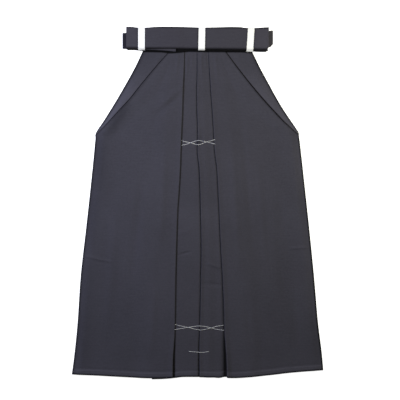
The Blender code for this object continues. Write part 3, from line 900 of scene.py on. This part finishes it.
def panel_top(side, name, x, y):
    """Height of a side panel's upper face, with x the distance out from the middle."""
    line = side * pleat(name, y)
    leaf = side * outline(f"leaf_{name}", y)
    over_pleat = ease(1.0 - (x - line - depth("side_pleat", y) - SETTLE_START) / PLEAT_SETTLE)
    over_turn = ease(1.0 - (leaf - depth("turn", y) - SETTLE_START - x) / TURN_SETTLE)
    raised = stand(name, y) * ease(1.0 - (x - line - gap(name, y) / 2) / STAND_SETTLE) ** STAND_FALL
    raised = raised + stand("leaf", y) * ease(1.0 - (leaf - x) / LEAF_SETTLE)
    return height(1.0 + 2.0 * np.maximum(over_pleat, over_turn), side * x, y) + raised


def edge_dark(side, inside, y):
    """Shade at the rounded side edge: a bell by the distance in from it, deeper at the right and below."""
    below = ease((RIGHT_EDGE_SHADE_FROM - y) / RIGHT_EDGE_SHADE_LENGTH)
    return (EDGE_SHADE + RIGHT_EDGE_SHADE * (side > 0) * below) * hump(inside, EDGE_SHADE_WIDTH)


def leaf_dark(side, name, out, edge, end, y, above_opening):
    """Painted shade on the cloth behind the bamboo-leaf fold: beside and under the fold's edge, along its
    own rim, which narrows towards the tip, and evenly by its height, with painted light towards the lower
    end.
    Below the side opening's end only the painted shade of the side edge is left."""
    dark = LEAF_GAP_SHADE * ease(LEAF_GAP_REACH - (out - edge) / gap(f"leaf_{name}", y)) * above_opening
    dark = np.maximum(dark, HIDDEN_SHADE * (out < edge))
    dark = np.maximum(dark, edge_dark(side, end - out, y) * (1.0 - above_opening))
    widening = ease((y - SIDE_OPENING) / LEAF_TIP_LENGTH)
    rim = hump(end - out, LEAF_TIP_WIDTH + (LEAF_RIM_WIDTH - LEAF_TIP_WIDTH) * widening)
    dark = np.maximum(dark, LEAF_RIM_SHADE * rim * above_opening)
    return dark + column(LEAF_SHADES, name, y) * above_opening * (1.0 - dark)


def side_panel(side, name, look):
    """Front panel at one side. Its pleat edge stands beside the centre strip, with the cloth going back
    under it, and at the side it turns under and out again: as the bamboo-leaf fold above the side
    opening's end, and as the seam's turned edge below. Places are distances out from the middle."""
    y = garment_rows()
    line = side * pleat(name, y)
    leaf = side * outline(f"leaf_{name}", y)
    above_opening = ease((y - SIDE_OPENING + OPENING_ROUND) / OPENING_ROUND)
    leaf_edge = leaf - gap(f"leaf_{name}", y) / 2 * above_opening
    pleat_fold = line + gap(name, y) / 2 + (LAYER + stand(name, y)) / 2 + CLOTH / 2
    leaf_fold = leaf_edge - (LAYER + stand("leaf", y)) / 2 - CLOTH / 2
    inner_fold = leaf - depth("turn", y) + LAYER / 2
    leaf_end = side * outline(f"side_{name}", y) - EDGE_INSET * (1.0 - above_opening)

    under = spread(line + depth("side_pleat", y), pleat_fold, UNDER_POINTS, pleat_fold + near(6))
    top = spread(pleat_fold, leaf_fold, PANEL_POINTS, pleat_fold + near(), leaf_fold - near())
    inward = spread(leaf_fold, inner_fold, LEAF_INWARD_POINTS, leaf_fold - near(3))
    marks = (leaf_edge - near(5), leaf_edge + near(9), leaf_end - near(5))
    outward = spread(inner_fold, leaf_end, LEAF_OUTWARD_POINTS, *marks)
    top_dark = edge_dark(side, leaf_fold - top, y) * (1.0 - INNER_SHADE * above_opening)
    leaf_sink = LEAF_SINK * hump(outward - leaf_edge - 1.0, LEAF_SINK_WIDTH) * above_opening
    outward_dark = leaf_dark(side, name, outward, leaf_edge, leaf_end, y, above_opening)
    runs = [
        (side * under, height(2.0, side * under, y), np.full_like(under, UNDER_SHADE)),
        (side * top, panel_top(side, name, top, y), top_dark),
        (side * inward, height(2.0, side * inward, y), np.full_like(inward, INNER_SHADE)),
        (side * outward, height(1.0, side * outward, y) - leaf_sink, outward_dark),
    ]
    add_strip(f"front_{name}", runs, y, "panels", look)


def under_panel(inside, x, y):
    """Level that a strip takes its relief from. Where it goes on under a side panel, that is the panel's own
    level at the same place, so that one turned-up hem lies in the other."""
    shift = hem_line("strips", x) - hem_line("panels", x)
    return y + near_hem(y) * shift * ease((inside - UNDER_FROM) / UNDER_EASE)


def centre_left(look):
    """Centre strip at the left: from the seam under the left panel, on to the seam under the right strip.
    It sinks a little in the gap beside each of the two folds that lie on it."""
    y = garment_rows()
    left, centre = pleat("left", y), pleat("centre", y)
    from_x, to_x = left - depth("side_pleat", y), centre + depth("centre_pleat", y)
    x = spread(from_x, to_x, STRIP_POINTS, left + near(), left - near(8), centre - near(), centre + near(8))
    left_sink, left_dark = sink_at(left, "left", x, y)
    centre_sink, centre_dark = sink_at(centre, "centre", x, y)
    hidden = np.maximum(ease((left - x) / HIDDEN_EASE), ease((x - centre) / HIDDEN_EASE))
    dark = np.maximum(np.maximum(left_dark, centre_dark), HIDDEN_SHADE * hidden)
    runs = [(x, sunk(1.0, x, under_panel(left - x, x, y), left_sink + centre_sink), dark)]
    add_strip("centre_left", runs, y, "strips", look)


def centre_right_top(x, y):
    """Height of the right centre strip's upper face, and its painted shade in the gap beside the right
    panel.
    """
    centre, right = pleat("centre", y), pleat("right", y)
    tail = centre + depth("centre_pleat", y) + TAIL_START
    room = np.minimum(CENTRE_SETTLE, right - gap("right", y) / 2 - tail - 1.0)
    level = 1.0 + 2.0 * ease(1.0 - (x - tail) / room)
    past_edge = x - centre - gap("centre", y) / 2
    raised = stand("centre", y) * ease(1.0 - past_edge / CENTRE_STAND_SETTLE) ** STAND_FALL
    sink, dark = sink_at(right, "right", x, y)
    up = sunk(level, x, under_panel(x - right, x, y), sink) + raised
    return up, np.maximum(dark, HIDDEN_SHADE * ease((x - right) / HIDDEN_EASE))


def centre_right(look):
    """Centre strip at the right: its folded edge lies on the left strip at the centre pleat."""
    y = garment_rows()
    centre, right = pleat("centre", y), pleat("right", y)
    seam = centre + depth("centre_pleat", y)
    far = right + depth("side_pleat", y)
    fold = centre + gap("centre", y) / 2 + (LAYER + stand("centre", y)) / 2 + CLOTH / 2
    tail = seam + TAIL_START
    under = spread(seam + TAIL_END, fold, UNDER_POINTS - 2, fold + near(5), tail + TAIL_DROP / 2)
    top = spread(fold, far, STRIP_POINTS, fold + near(), right - near(), right + near(8))
    under_level = 2.0 - ease((under - tail) / TAIL_DROP)
    runs = [
        (under, height(under_level, under, y), np.full_like(under, UNDER_SHADE)),
        (top, *centre_right_top(top, y)),
    ]
    add_strip("centre_right", runs, y, "strips", look)


def back_panel(side, name, look):
    """Back panel at one side: flat on the table, sewn at the middle, just inside the front's outline. Its
    underside has the hem's turned-up edge and a few shallow creases, as hollows of a few tenths."""
    y = garment_rows()[::2]
    first = np.full_like(y, SEAM / 2)
    side_line = side * outline(f"side_{name}", y) - EDGE_INSET
    out = spread(first, side_line, BACK_POINTS, first + near(6), side_line - near(6))
    x = side * out
    rise = ease((y - WAIST_RISE_FROM) / (FRONT_TOP - WAIST_RISE_FROM))
    top = BACK_TIE_EDGE + BACK_TIE_SKEW * x - SEAM
    level = y + BACK_HEM_RISE * near_hem(y) + rise * (top - FRONT_TOP)
    seams = hump(y - HEM - HEM_DEPTH - HEM_SLOPE, BACK_HEM_HOLLOW_WIDTH)
    seams = seams + hump(out - BACK_MIDDLE_HOLLOW_AT, BACK_MIDDLE_HOLLOW_WIDTH)
    creases = np.clip(crease_relief(-x * BACK_CREASE_SHRINK, y - BACK_CREASE_SHIFT), 0.0, 1.0)
    hollow = np.clip(BACK_SEAM_HOLLOW * seams + BACK_CREASE_HOLLOW * creases, 0.0, BACK_DEEPEST_HOLLOW)
    add_strip(f"back_{name}", [(x, CLOTH / 2 + hollow, np.zeros_like(x))], level, "panels", look, ())


def gusset(side, name, look):
    """Gusset of one leg, folded in half under the centre strips: from the back's middle seam out to its
    fold and in again to the front's middle seam."""
    y = np.linspace(CROTCH, HEM, GUSSET_ROWS)[:, None]
    down = (CROTCH - y) / (CROTCH - HEM)
    fold = side * (GUSSET_TOP_WIDTH + (GUSSET_HEM_WIDTH - GUSSET_TOP_WIDTH) * down - LAYER / 2)
    seam = pleat("centre", y) + depth("centre_pleat", y) + (GUSSET_CLEAR if side > 0 else 0.0)
    inner = np.full_like(y, side * SEAM)
    runs = []
    for level, run in ((1, spread(inner, fold, GUSSET_POINTS)), (2, spread(fold, seam, GUSSET_POINTS))):
        runs.append((run, np.full_like(run, SOLID_CLOTH / 2 + LAYER * level), np.zeros_like(run)))
    add_strip(f"gusset_{name}", runs, y + GUSSET_HEM_RISE * near_hem(y), "panels", look)


def swell(x):
    """How far the folded ties swell between their paper bands: 0 at a band, 1 half way to the next."""
    middles = np.array([band[1] for band in BANDS])
    total = np.zeros_like(x)
    for start, end in zip(middles, middles[1:]):
        total = total + np.clip(4.0 * (x - start) * (end - x) / (end - start) ** 2, 0.0, 1.0)
    return total


def stack_edges(x):
    """Lower and upper edge of the stack of folded ties."""
    return STACK_LOW + STACK_LEAN * x, STACK_HIGH + STACK_LEAN * x


def settle(points):
    """Presses the stack of folded ties: the higher a point is in it, the further its lower and upper
    edges round off, its lower edge steps back and its middle stands up between the bands."""
    x, y, z = points.T
    share = np.clip((z - STACK_BOTTOM) / STACK_HEIGHT, 0.0, 1.0)
    low, high = stack_edges(x)
    below = np.clip(1.0 - (y - low) / (LOW_ROUND + LOW_ROUND_SWELL * swell(x)), 0.0, ROUND_REACH)
    above = np.clip(1.0 - (high - y) / HIGH_ROUND, 0.0, ROUND_REACH)
    part = np.clip((y - low) / (high - low), 0.0, 1.0)
    crown = CROWN * (CROWN_AT_BANDS + (1.0 - CROWN_AT_BANDS) * swell(x))
    rise = crown * 4.0 * part * (1.0 - part)
    rise = rise - LOW_DROP * below**2 - HIGH_DROP * above**2
    return np.stack([x, y + share * LOW_STEP_BACK * (1.0 - part), z + share * rise], axis=-1)


def front_tie_height(level, x):
    """Middle of a layer of the front tie. The runs over its short one settle where that one ends."""
    if level < FIRST_FOLDED_RUN:
        return np.full_like(x, FRONT_TIE_BASE + SOLID_TIE / 2)
    first = STACK_BOTTOM + SOLID_PAPER + SEAM + SOLID_TIE / 2
    settled = (level > SHORT_RUN) * ease((x - SHORT_RUN_END - SETTLE_START) / SHORT_RUN_SETTLE)
    return first + TIE_LAYER * (level - FIRST_FOLDED_RUN - settled)


def back_tie_height(level, x):
    return np.full_like(x, SOLID_TIE / 2 + TIE_LAYER * level)


def tie_path(table, layer_height):
    """Places, heights, middle lines and levels along a tie, run by run with half-circle folds between.
    A run's ends in the table are its outermost places, so a fold's radius and half the tie are taken off."""
    runs = named_rows(RUN_COLUMNS, table)
    radii = []
    for run, after in zip(runs, runs[1:]):
        end = np.array([run["to_x"]], dtype=float)
        radii.append(abs(layer_height(run["level"], end) - layer_height(after["level"], end))[0] / 2)
    margins = [0.0, *(radius + SOLID_TIE / 2 for radius in radii), 0.0]
    turn = np.linspace(0.0, math.pi, TIE_FOLD_POINTS + 2)[1:-1]
    parts = []
    for number, run in enumerate(runs):
        onward = np.sign(run["to_x"] - run["from_x"])
        start, end = run["from_x"] + onward * margins[number], run["to_x"] - onward * margins[number + 1]
        x = np.linspace(start, end, TIE_RUN_POINTS)
        z = layer_height(run["level"], x)
        share = np.linspace(0.0, 1.0, TIE_RUN_POINTS)
        share = ease((share - run["turns_at"]) / (1.0 - run["turns_at"])) if run["turns_at"] else share
        middle = run["from_y"] + (run["to_y"] - run["from_y"]) * share
        parts.append((x, z, middle, np.full_like(x, run["level"])))
        if number < len(radii):
            after = runs[number + 1]
            centre = (z[-1:] + layer_height(after["level"], x[-1:])) / 2
            parts.append((
                x[-1] + onward * radii[number] * np.sin(turn),
                centre + (z[-1:] - centre) * np.cos(turn),
                np.linspace(run["to_y"], after["from_y"], len(turn)),
                np.full_like(turn, max(run["level"], after["level"])),
            ))
    return [np.concatenate(part) for part in zip(*parts)]


def tie_dark(x, y, z):
    """Painted shade on the folded ties: under their lower edge, where each layer stands over the next, in
    the round of their upper edge, beside the paper bands, and full on the waistband, with painted light at
    both ends. The short run's corner, which sticks out below the others, has only a faint painted shade that
    grows towards its left end."""
    low, high = stack_edges(x)
    edge = TIE_EDGE_SHADE * ease(1.0 - (y - low) / TIE_EDGE_SHADE_WIDTH)
    edge = np.maximum(edge, TIE_TOP_SHADE * ease(1.0 - (high - y) / TIE_TOP_SHADE_WIDTH))
    for _, middle, width, lean in BANDS:
        away = np.abs(x - middle - lean * (y - (low + high) / 2)) - width / 2
        edge = np.maximum(edge, BAND_SHADE * ease(1.0 - away / BAND_SHADE_WIDTH))
    lit = LEFT_END_LIT * ease((LEFT_END_FROM - x) / END_LIT_EASE)
    lit = lit + RIGHT_END_LIT * ease((x - RIGHT_END_FROM) / END_LIT_EASE)
    edge = edge - lit * (1.0 - edge)
    on_short = np.abs(z - front_tie_height(SHORT_RUN, x)) < TIE_LAYER / 2
    sticks_out = on_short * (x < SHORT_RUN_END + 1.0)
    on_short_dark = SHORT_RUN_SHADE * ease((SHORT_RUN_END - x) / SHORT_RUN_SHADE_LENGTH)
    return np.where(sticks_out, on_short_dark, over(edge, ease((STACK_BOTTOM - z) / SEAM)))


def back_tie_dark(x, y, z):
    """Painted shade on the back tie's ends, as in the front stack's shade: even over its left half, and at
    the right only on the cut corner's lower layers, with painted light over the rest of it."""
    corner = BACK_CORNER_SHADE * ease((BACK_CORNER_SHADE_TOP - y) / BACK_CORNER_SHADE_EASE)
    corner = corner * (z < BACK_CORNER_SHADE_LAYERS * TIE_LAYER)
    return np.where(x < 0.0, BACK_LEFT_SHADE, np.where(corner > 0.0, corner, -BACK_RIGHT_LIT))


def tie_section():
    """Half a stadium each way: shares of the tie's width, and offsets from its middle plane and past its
    edges in units of half the wall, the sine and cosine of a turn. Flat faces, with half a circle round
    each long edge."""
    flat = np.linspace(0.0, 1.0, TIE_WIDTH_POINTS)
    edge = np.linspace(-90.0, 90.0, TIE_EDGE_POINTS + 2)[1:-1]
    share = np.concatenate([flat, np.ones_like(edge), flat[::-1], np.zeros_like(edge)])
    turn = np.concatenate([np.full_like(flat, -90.0), edge, np.full_like(flat, 90.0), edge + 180.0])
    return share, np.sin(np.radians(turn)), np.cos(np.radians(turn))


def with_ends(values, sides):
    """Values over the rings of a tube, followed by the mean of its first ring and of its last."""
    return np.concatenate([values, [values[:sides].mean(axis=0), values[-sides:].mean(axis=0)]])


def add_tie(node, across, up, low, high, look, stacked):
    """A tie in place of the node's solid: its flat section, round at both long edges, carried along its
    path square to it. The front one is pressed as a stack."""
    off_x, off_z = square_to(across, up)
    share, off, past = tie_section()
    half = TIE / 2
    y = (low + half)[:, None] + (high - low - TIE)[:, None] * share + half * past
    x = across[:, None] + off_x[:, None] * half * off
    z = up[:, None] + off_z[:, None] * half * off
    points = np.stack([x, y, z], axis=-1).reshape(-1, 3)
    points = settle(points) if stacked else points
    rings, sides = x.shape
    gone = travelled(across, up)
    uv = np.stack([np.broadcast_to(gone[:, None], x.shape), y], axis=-1).reshape(-1, 2)
    dark = (tie_dark if stacked else back_tie_dark)(x, y, z)
    dark = np.concatenate([dark.ravel(), np.zeros(2)])
    points, uv = with_ends(points, sides), with_ends(uv, sides)
    piece = add_piece(f"{node}_cloth", points, tube_faces(rings, sides), uv, dark, look)
    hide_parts(node)


def cut_corner(x, corner, level):
    """How far the lower edge rises towards a cut-off corner."""
    start, length, rise, lowest = corner
    return np.where(level >= lowest, np.clip((x - start) / length, 0.0, 1.0) * rise, 0.0)


def front_tie(look):
    """The front waistband and its ties. Their line bows between the paper bands, which draw in the edges."""
    across, up, middle, level = tie_path(FRONT_TIE_RUNS, front_tie_height)
    stacked = level >= FIRST_FOLDED_RUN
    middle = middle + np.where(stacked, TIE_BOW * swell(across), 0.0)
    trim_x, trim_high, trim_low = np.array(STACK_TRIM).T
    high = middle + FRONT_TIE_WIDTH / 2 + np.where(stacked, smooth(across, trim_x, trim_high), 0.0)
    low = middle - FRONT_TIE_WIDTH / 2 + cut_corner(across, FRONT_TIE_CORNER, level)
    low = low + smooth(across, trim_x, trim_low)
    slant = SHORT_RUN_SLANT * np.clip((across - SHORT_RUN_SLANT_FROM) / SHORT_RUN_SLANT_LENGTH, 0.0, 1.0)
    low = low - np.where(level == SHORT_RUN, slant, 0.0)
    add_tie("front_strap", across, up, low, high, look, True)
    return across, up, low, high, level


def back_tie(look):
    """The back waistband and its ties, folded beneath. The lowest run is trimmed along the backs' top."""
    across, up, middle, level = tie_path(BACK_TIE_RUNS, back_tie_height)
    low = middle - BACK_TIE_WIDTH / 2 + cut_corner(across, BACK_TIE_CORNER, level)
    flare = BACK_END_FLARE * ease((across - BACK_END_FLARE_FROM) / BACK_END_FLARE_EASE)
    high = middle + BACK_TIE_WIDTH / 2 + flare
    low = np.where(level == 0, np.maximum(low, BACK_TIE_EDGE + BACK_TIE_SKEW * across), low)
    add_tie("back_strap", across, up, low, high, look, False)


def rounded_loop(low, high, bottom, top, radius):
    """Rectangle with rounded corners, as places along Y and heights, with points along its straights."""
    turn = np.linspace(-math.pi / 2, 0.0, BAND_CORNER_POINTS)
    middles = (
        (high - radius, bottom + radius), (high - radius, top - radius),
        (low + radius, top - radius), (low + radius, bottom + radius),
    )
    arcs = []
    for number, (y, z) in enumerate(middles):
        angle = turn + number * math.pi / 2
        arcs.append(np.stack([y + radius * np.cos(angle), z + radius * np.sin(angle)]))
    loop = []
    for arc, after in zip(arcs, arcs[1:] + arcs[:1]):
        straight = np.linspace(arc[:, -1], after[:, 0], BAND_SIDE_POINTS + 2, axis=-1)
        loop += [arc, straight[:, 1:-1]]
    return np.concatenate(loop, axis=1)


def paper_band(name, x, width, lean, tie, look):
    """A closed ring of paper round the folded runs of the front tie. It takes the same settling as they
    do, so it follows their rounded edges."""
    across, up, low, high, level = tie
    reach = width / 2 + abs(lean) * FRONT_TIE_WIDTH / 2 + BAND_REACH
    held = (level >= FIRST_FOLDED_RUN) & (np.abs(across - x) < reach)
    lowest, highest = low[held].min() - BAND_ROOM, high[held].max() + BAND_ROOM
    bottom, top = STACK_BOTTOM + BAND_ABOVE_WAIST, up[held].max() + SOLID_TIE / 2 + SEAM + PAPER
    outer = rounded_loop(lowest - PAPER, highest + PAPER, bottom, top, BAND_CORNER)
    inner = rounded_loop(lowest, highest, bottom + PAPER, top - PAPER, BAND_CORNER - PAPER)
    middle_y = (low.min() + high.max()) / 2
    columns = np.linspace(-width / 2, width / 2, BAND_ACROSS_POINTS)
    rings, uv = [], []
    for (y, z), edges in ((outer, columns), (inner, columns[::-1])):
        for edge in edges:
            rings.append(np.stack([x + edge + lean * (y - middle_y), y, z], axis=-1))
            uv.append(np.stack([np.full_like(y, edge), y], axis=-1))
    points = settle(np.concatenate(rings))
    faces = ring_faces(len(rings) + 1, len(rings[0])) % len(points)
    dark = np.zeros(len(points))
    piece = add_piece(f"{name}_sleeve", points, [faces], np.concatenate(uv), dark, look, BAND_SHARP_ANGLE)
    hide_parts(name)


def front_surface(x, y):
    """Height of the cloth's upper side at a place near the pleats, whichever piece is on top there."""
    left, centre, right = pleat("left", y), pleat("centre", y), pleat("right", y)
    strip = sunk(1.0, x, y, sink_at(left, "left", x, y)[0] + sink_at(centre, "centre", x, y)[0])
    middle = np.where(x < centre + gap("centre", y) / 2, strip, centre_right_top(x, y)[0])
    on_left, on_right = panel_top(-1, "left", -x, y), panel_top(1, "right", x, y)
    up = np.where(x > right + gap("right", y) / 2, on_right, middle)
    return np.where(x < left - gap("left", y) / 2, on_left, up) + CLOTH / 2


def running_mean(values, reach):
    """Mean over so many neighbours each way, with the ends held on."""
    window = 2 * reach + 1
    return np.convolve(np.pad(values, reach, mode="edge"), np.ones(window) / window, mode="valid")


def thread_path(places, lift):
    """The thread's line lies on the cloth, bridges its grooves where a running mean of the height is
    higher than the cloth, and dives into it at both ends."""
    places = np.array(places)
    even = np.linspace(places[0, 0], places[-1, 0], THREAD_SAMPLES)
    y = smooth(even, places[:, 0], places[:, 1])
    ground = front_surface(even, y)
    bridged = np.maximum(ground, running_mean(ground, THREAD_BRIDGE_REACH))
    bridged = running_mean(bridged, THREAD_SMOOTH_REACH)
    from_end = np.minimum(even - even[0], even[-1] - even)
    z = np.maximum(bridged, ground) + THREAD_RADIUS * THREAD_REST
    z = z + lift * ease(from_end / THREAD_LIFT_LENGTH)
    z = z - THREAD_DIVE * (1.0 - ease(from_end / THREAD_DIVE))
    gone = travelled(even, y, z)
    at = np.arange(0.0, gone[-1], THREAD_STEP)
    return np.stack([np.interp(at, gone, values) for values in (even, y, z)], axis=-1)


def thread(name, places, lift, look):
    """Two plies twisted: a round section whose radius swells twice round it, turning along the path."""
    path = thread_path(places, lift)
    rings = len(path)
    forward = np.gradient(path, axis=0)
    forward = forward / np.linalg.norm(forward, axis=-1, keepdims=True)
    sideways = np.cross(forward, np.array((0.0, 0.0, 1.0)))
    sideways = sideways / np.linalg.norm(sideways, axis=-1, keepdims=True)
    upward = np.cross(sideways, forward)
    angle = np.linspace(0.0, 2.0 * math.pi, THREAD_SIDES, endpoint=False)
    gone = np.arange(rings) * THREAD_STEP
    twist = 2.0 * math.pi * gone[:, None] / THREAD_TWIST
    radius = THREAD_RADIUS * (1.0 + THREAD_SWELL * np.cos(2.0 * (angle - twist)))
    ring = path[:, None] + sideways[:, None] * (radius * np.cos(angle))[..., None]
    ring = ring + upward[:, None] * (radius * np.sin(angle))[..., None]
    points = np.concatenate([ring.reshape(-1, 3), path[:1], path[-1:]])
    uv = np.stack([np.repeat(gone, THREAD_SIDES), np.tile(angle, rings)], axis=-1)
    uv = np.concatenate([uv, uv[:1], uv[-1:]])
    faces, dark = tube_faces(rings, THREAD_SIDES), np.zeros(len(points))
    add_piece(name, points, faces, uv, dark, look, THREAD_SHARP_ANGLE)


def linear(code):
    """An sRGB hex colour as linear values with full alpha."""
    value = np.array([int(code[i:i + 2], 16) for i in (0, 2, 4)]) / 255.0
    value = np.where(value <= 0.04045, value / 12.92, ((value + 0.055) / 1.055) ** 2.4)
    return (*value.tolist(), 1.0)


def add_look(name):
    """A material with an empty node tree, and that tree."""
    look = bpy.data.materials.new(name)
    look.use_nodes = True
    look.node_tree.nodes.clear()
    return look, look.node_tree


def add_node(tree, kind, inputs=(), out=0, **settings):
    """A shader node of this kind, with its settings, and its inputs linked or set to plain values. One of
    its outputs comes back, if it has any."""
    made = tree.nodes.new("ShaderNode" + kind)
    for name, value in settings.items():
        setattr(made, name, value)
    for place, value in dict(inputs).items():
        if isinstance(value, bpy.types.NodeSocket):
            tree.links.new(value, made.inputs[place])
        else:
            made.inputs[place].default_value = value
    return made.outputs[out] if len(made.outputs) else None


def add_math(tree, operation, *values):
    """Arithmetic on linked or plain values."""
    return add_node(tree, "Math", dict(enumerate(values)), operation=operation)


def add_noise(tree, place, scale, detail, roughness=0.5):
    """Fractal noise at a place, about 0.5 on average."""
    inputs = {"Vector": place, "Scale": scale, "Detail": detail, "Roughness": roughness}
    return add_node(tree, "TexNoise", inputs, out="Fac")


def add_tint(tree, share, dark_code, light_code):
    """A colour from the dark one to the light one by a share."""
    inputs = {"Factor": share, "A": linear(dark_code), "B": linear(light_code)}
    return add_node(tree, "Mix", inputs, out=2, data_type="RGBA")


def add_shader(tree, inputs):
    """A surface with these inputs, on the material's output."""
    add_node(tree, "OutputMaterial", {"Surface": add_node(tree, "BsdfPrincipled", inputs)})


def woven_cloth(name, dark_code, light_code):
    """Worsted-look polyester in a fine plain weave: matt, with a faint fuzz of light at grazing angles.
    The weave is the product of a sine across and a sine along, at the thread spacing. Slubs are noise
    drawn out along the weft, and broad noise gives the slight unevenness of piece-dyed cloth."""
    look, tree = add_look(name)
    cut = add_node(tree, "UVMap", uv_map="cut")
    sines = []
    for axis in ("X", "Y"):
        place = add_node(tree, "SeparateXYZ", {0: cut}, out=axis)
        sines.append(add_math(tree, "SINE", add_math(tree, "MULTIPLY", place, math.pi / (WEAVE_PITCH * MM))))
    weave = add_math(tree, "MULTIPLY", *sines)
    slub_at = add_node(tree, "Mapping", {"Vector": cut, "Scale": SLUB_SCALE})
    slub = add_noise(tree, slub_at, 1.0, 3.0, 0.6)
    mottle = add_math(tree, "ADD", slub, add_noise(tree, cut, BROAD_SCALE, 2.0))
    mottle = add_math(tree, "ADD", mottle, add_noise(tree, cut, GRAIN_SCALE, 2.0, 0.6))
    share = add_node(tree, "MapRange", {"Value": mottle, "From Min": DARK_AT, "From Max": LIGHT_AT})
    tint = add_tint(tree, share, dark_code, light_code)
    # Painted shade and painted light: the attribute darkens the colour from 0 to 1, down to the least light
    # kept, and lightens it below 0
    painted_shade = add_node(tree, "Attribute", out="Fac", attribute_name="painted_shade")
    kept = add_node(tree, "MapRange", {"Value": painted_shade, "To Min": 1.0, "To Max": LEAST_LIGHT}, clamp=False)
    colour = add_node(tree, "VectorMath", {0: tint, 1: kept}, operation="MULTIPLY")
    tooth = add_math(tree, "MULTIPLY_ADD", weave, 0.35, slub)
    bump = add_node(tree, "Bump", {"Height": tooth, "Strength": 0.5, "Distance": WEAVE_BUMP})
    add_shader(tree, {
        "Base Color": colour, "Normal": bump, "Roughness": 0.85, "Specular IOR Level": 0.1,
        "Sheen Weight": 0.01, "Sheen Roughness": 0.45,
    })
    return look


def plain_paper():
    """Bleached wrapping paper: white, matt, with a faint fibre mottle too fine to show but for its tooth."""
    look, tree = add_look("bleached_paper")
    fibre = add_noise(tree, add_node(tree, "TexCoord", out="Object"), 900.0, 4.0, 0.65)
    bump = add_node(tree, "Bump", {"Height": fibre, "Strength": 0.3, "Distance": 0.0001})
    tint = add_tint(tree, fibre, PAPER_DARK, PAPER_WHITE)
    add_shader(tree, {"Base Color": tint, "Normal": bump, "Roughness": 0.7})
    return look


def cotton_thread():
    """Two-ply basting cotton: off-white and matt, with a fine fuzz of its fibres."""
    look, tree = add_look("basting_cotton")
    fuzz = add_noise(tree, add_node(tree, "UVMap", uv_map="cut"), 1400.0, 3.0)
    add_shader(tree, {"Base Color": add_tint(tree, fuzz, THREAD_DARK, THREAD_WHITE), "Roughness": 0.8})
    return look


def pale_table():
    """Matt white acrylic, lit a little from within as a light table is."""
    look, tree = add_look("white_light_table")
    add_shader(tree, {
        "Base Color": linear(TABLE_WHITE), "Roughness": 0.9, "Specular IOR Level": 0.1,
        "Emission Color": (1.0, 1.0, 1.0, 1.0), "Emission Strength": TABLE_GLOW,
    })
    mesh = bpy.data.meshes.new("table")
    corners = [(x * TABLE_HALF, y * TABLE_HALF, 0.0) for x, y in ((-1, -1), (1, -1), (1, 1), (-1, 1))]
    mesh.from_pydata(corners, [], [(0, 1, 2, 3)])
    mesh.materials.append(look)
    add_object("table", mesh)


def camera_and_light():
    """The camera straight above, the softboxes and the even surround."""
    scene = bpy.context.scene
    data = bpy.data.cameras.new("camera")
    data.sensor_width = SENSOR
    data.lens = SENSOR * CAMERA_PLACE[2] / FRAME_WIDTH
    data.clip_end = 50.0
    scene.camera = add_object("camera", data)
    scene.camera.location = CAMERA_PLACE
    for light in named_rows(LIGHTS[0], LIGHTS[1:]):
        lamp = bpy.data.lights.new(light["name"], "AREA")
        lamp.shape = "DISK"
        lamp.size, lamp.energy, lamp.color = light["size"], light["power"], light["colour"]
        made = add_object(light["name"], lamp)
        made.location = light["place"]
        aim = Vector(light["towards"]) - Vector(light["place"])
        made.rotation_mode = "QUATERNION"
        made.rotation_quaternion = aim.to_track_quat("-Z", "Y")
    world = bpy.data.worlds.new("surround")
    world.use_nodes = True
    background = world.node_tree.nodes["Background"]
    background.inputs["Color"].default_value = (1.0, 1.0, 1.0, 1.0)
    background.inputs["Strength"].default_value = SURROUND
    scene.world = world
    scene.view_settings.view_transform = "Standard"


def main():
    cloth = woven_cloth("piece_dyed_plain_weave", CLOTH_DARK, CLOTH_LIGHT)
    tie_cloth = woven_cloth("pressed_tie_weave", TIE_DARK, TIE_LIGHT)
    paper = plain_paper()
    cotton = cotton_thread()
    for side, name in ((-1, "left"), (1, "right")):
        back_panel(side, name, cloth)
        gusset(side, name, cloth)
        side_panel(side, name, cloth)
    centre_left(cloth)
    centre_right(cloth)
    back_tie(tie_cloth)
    tie = front_tie(tie_cloth)
    for name, x, width, lean in BANDS:
        paper_band(name, x, width, lean, tie, paper)
    for name, lift, places in THREADS:
        thread(name, places, lift, cotton)
    pale_table()
    camera_and_light()


main()
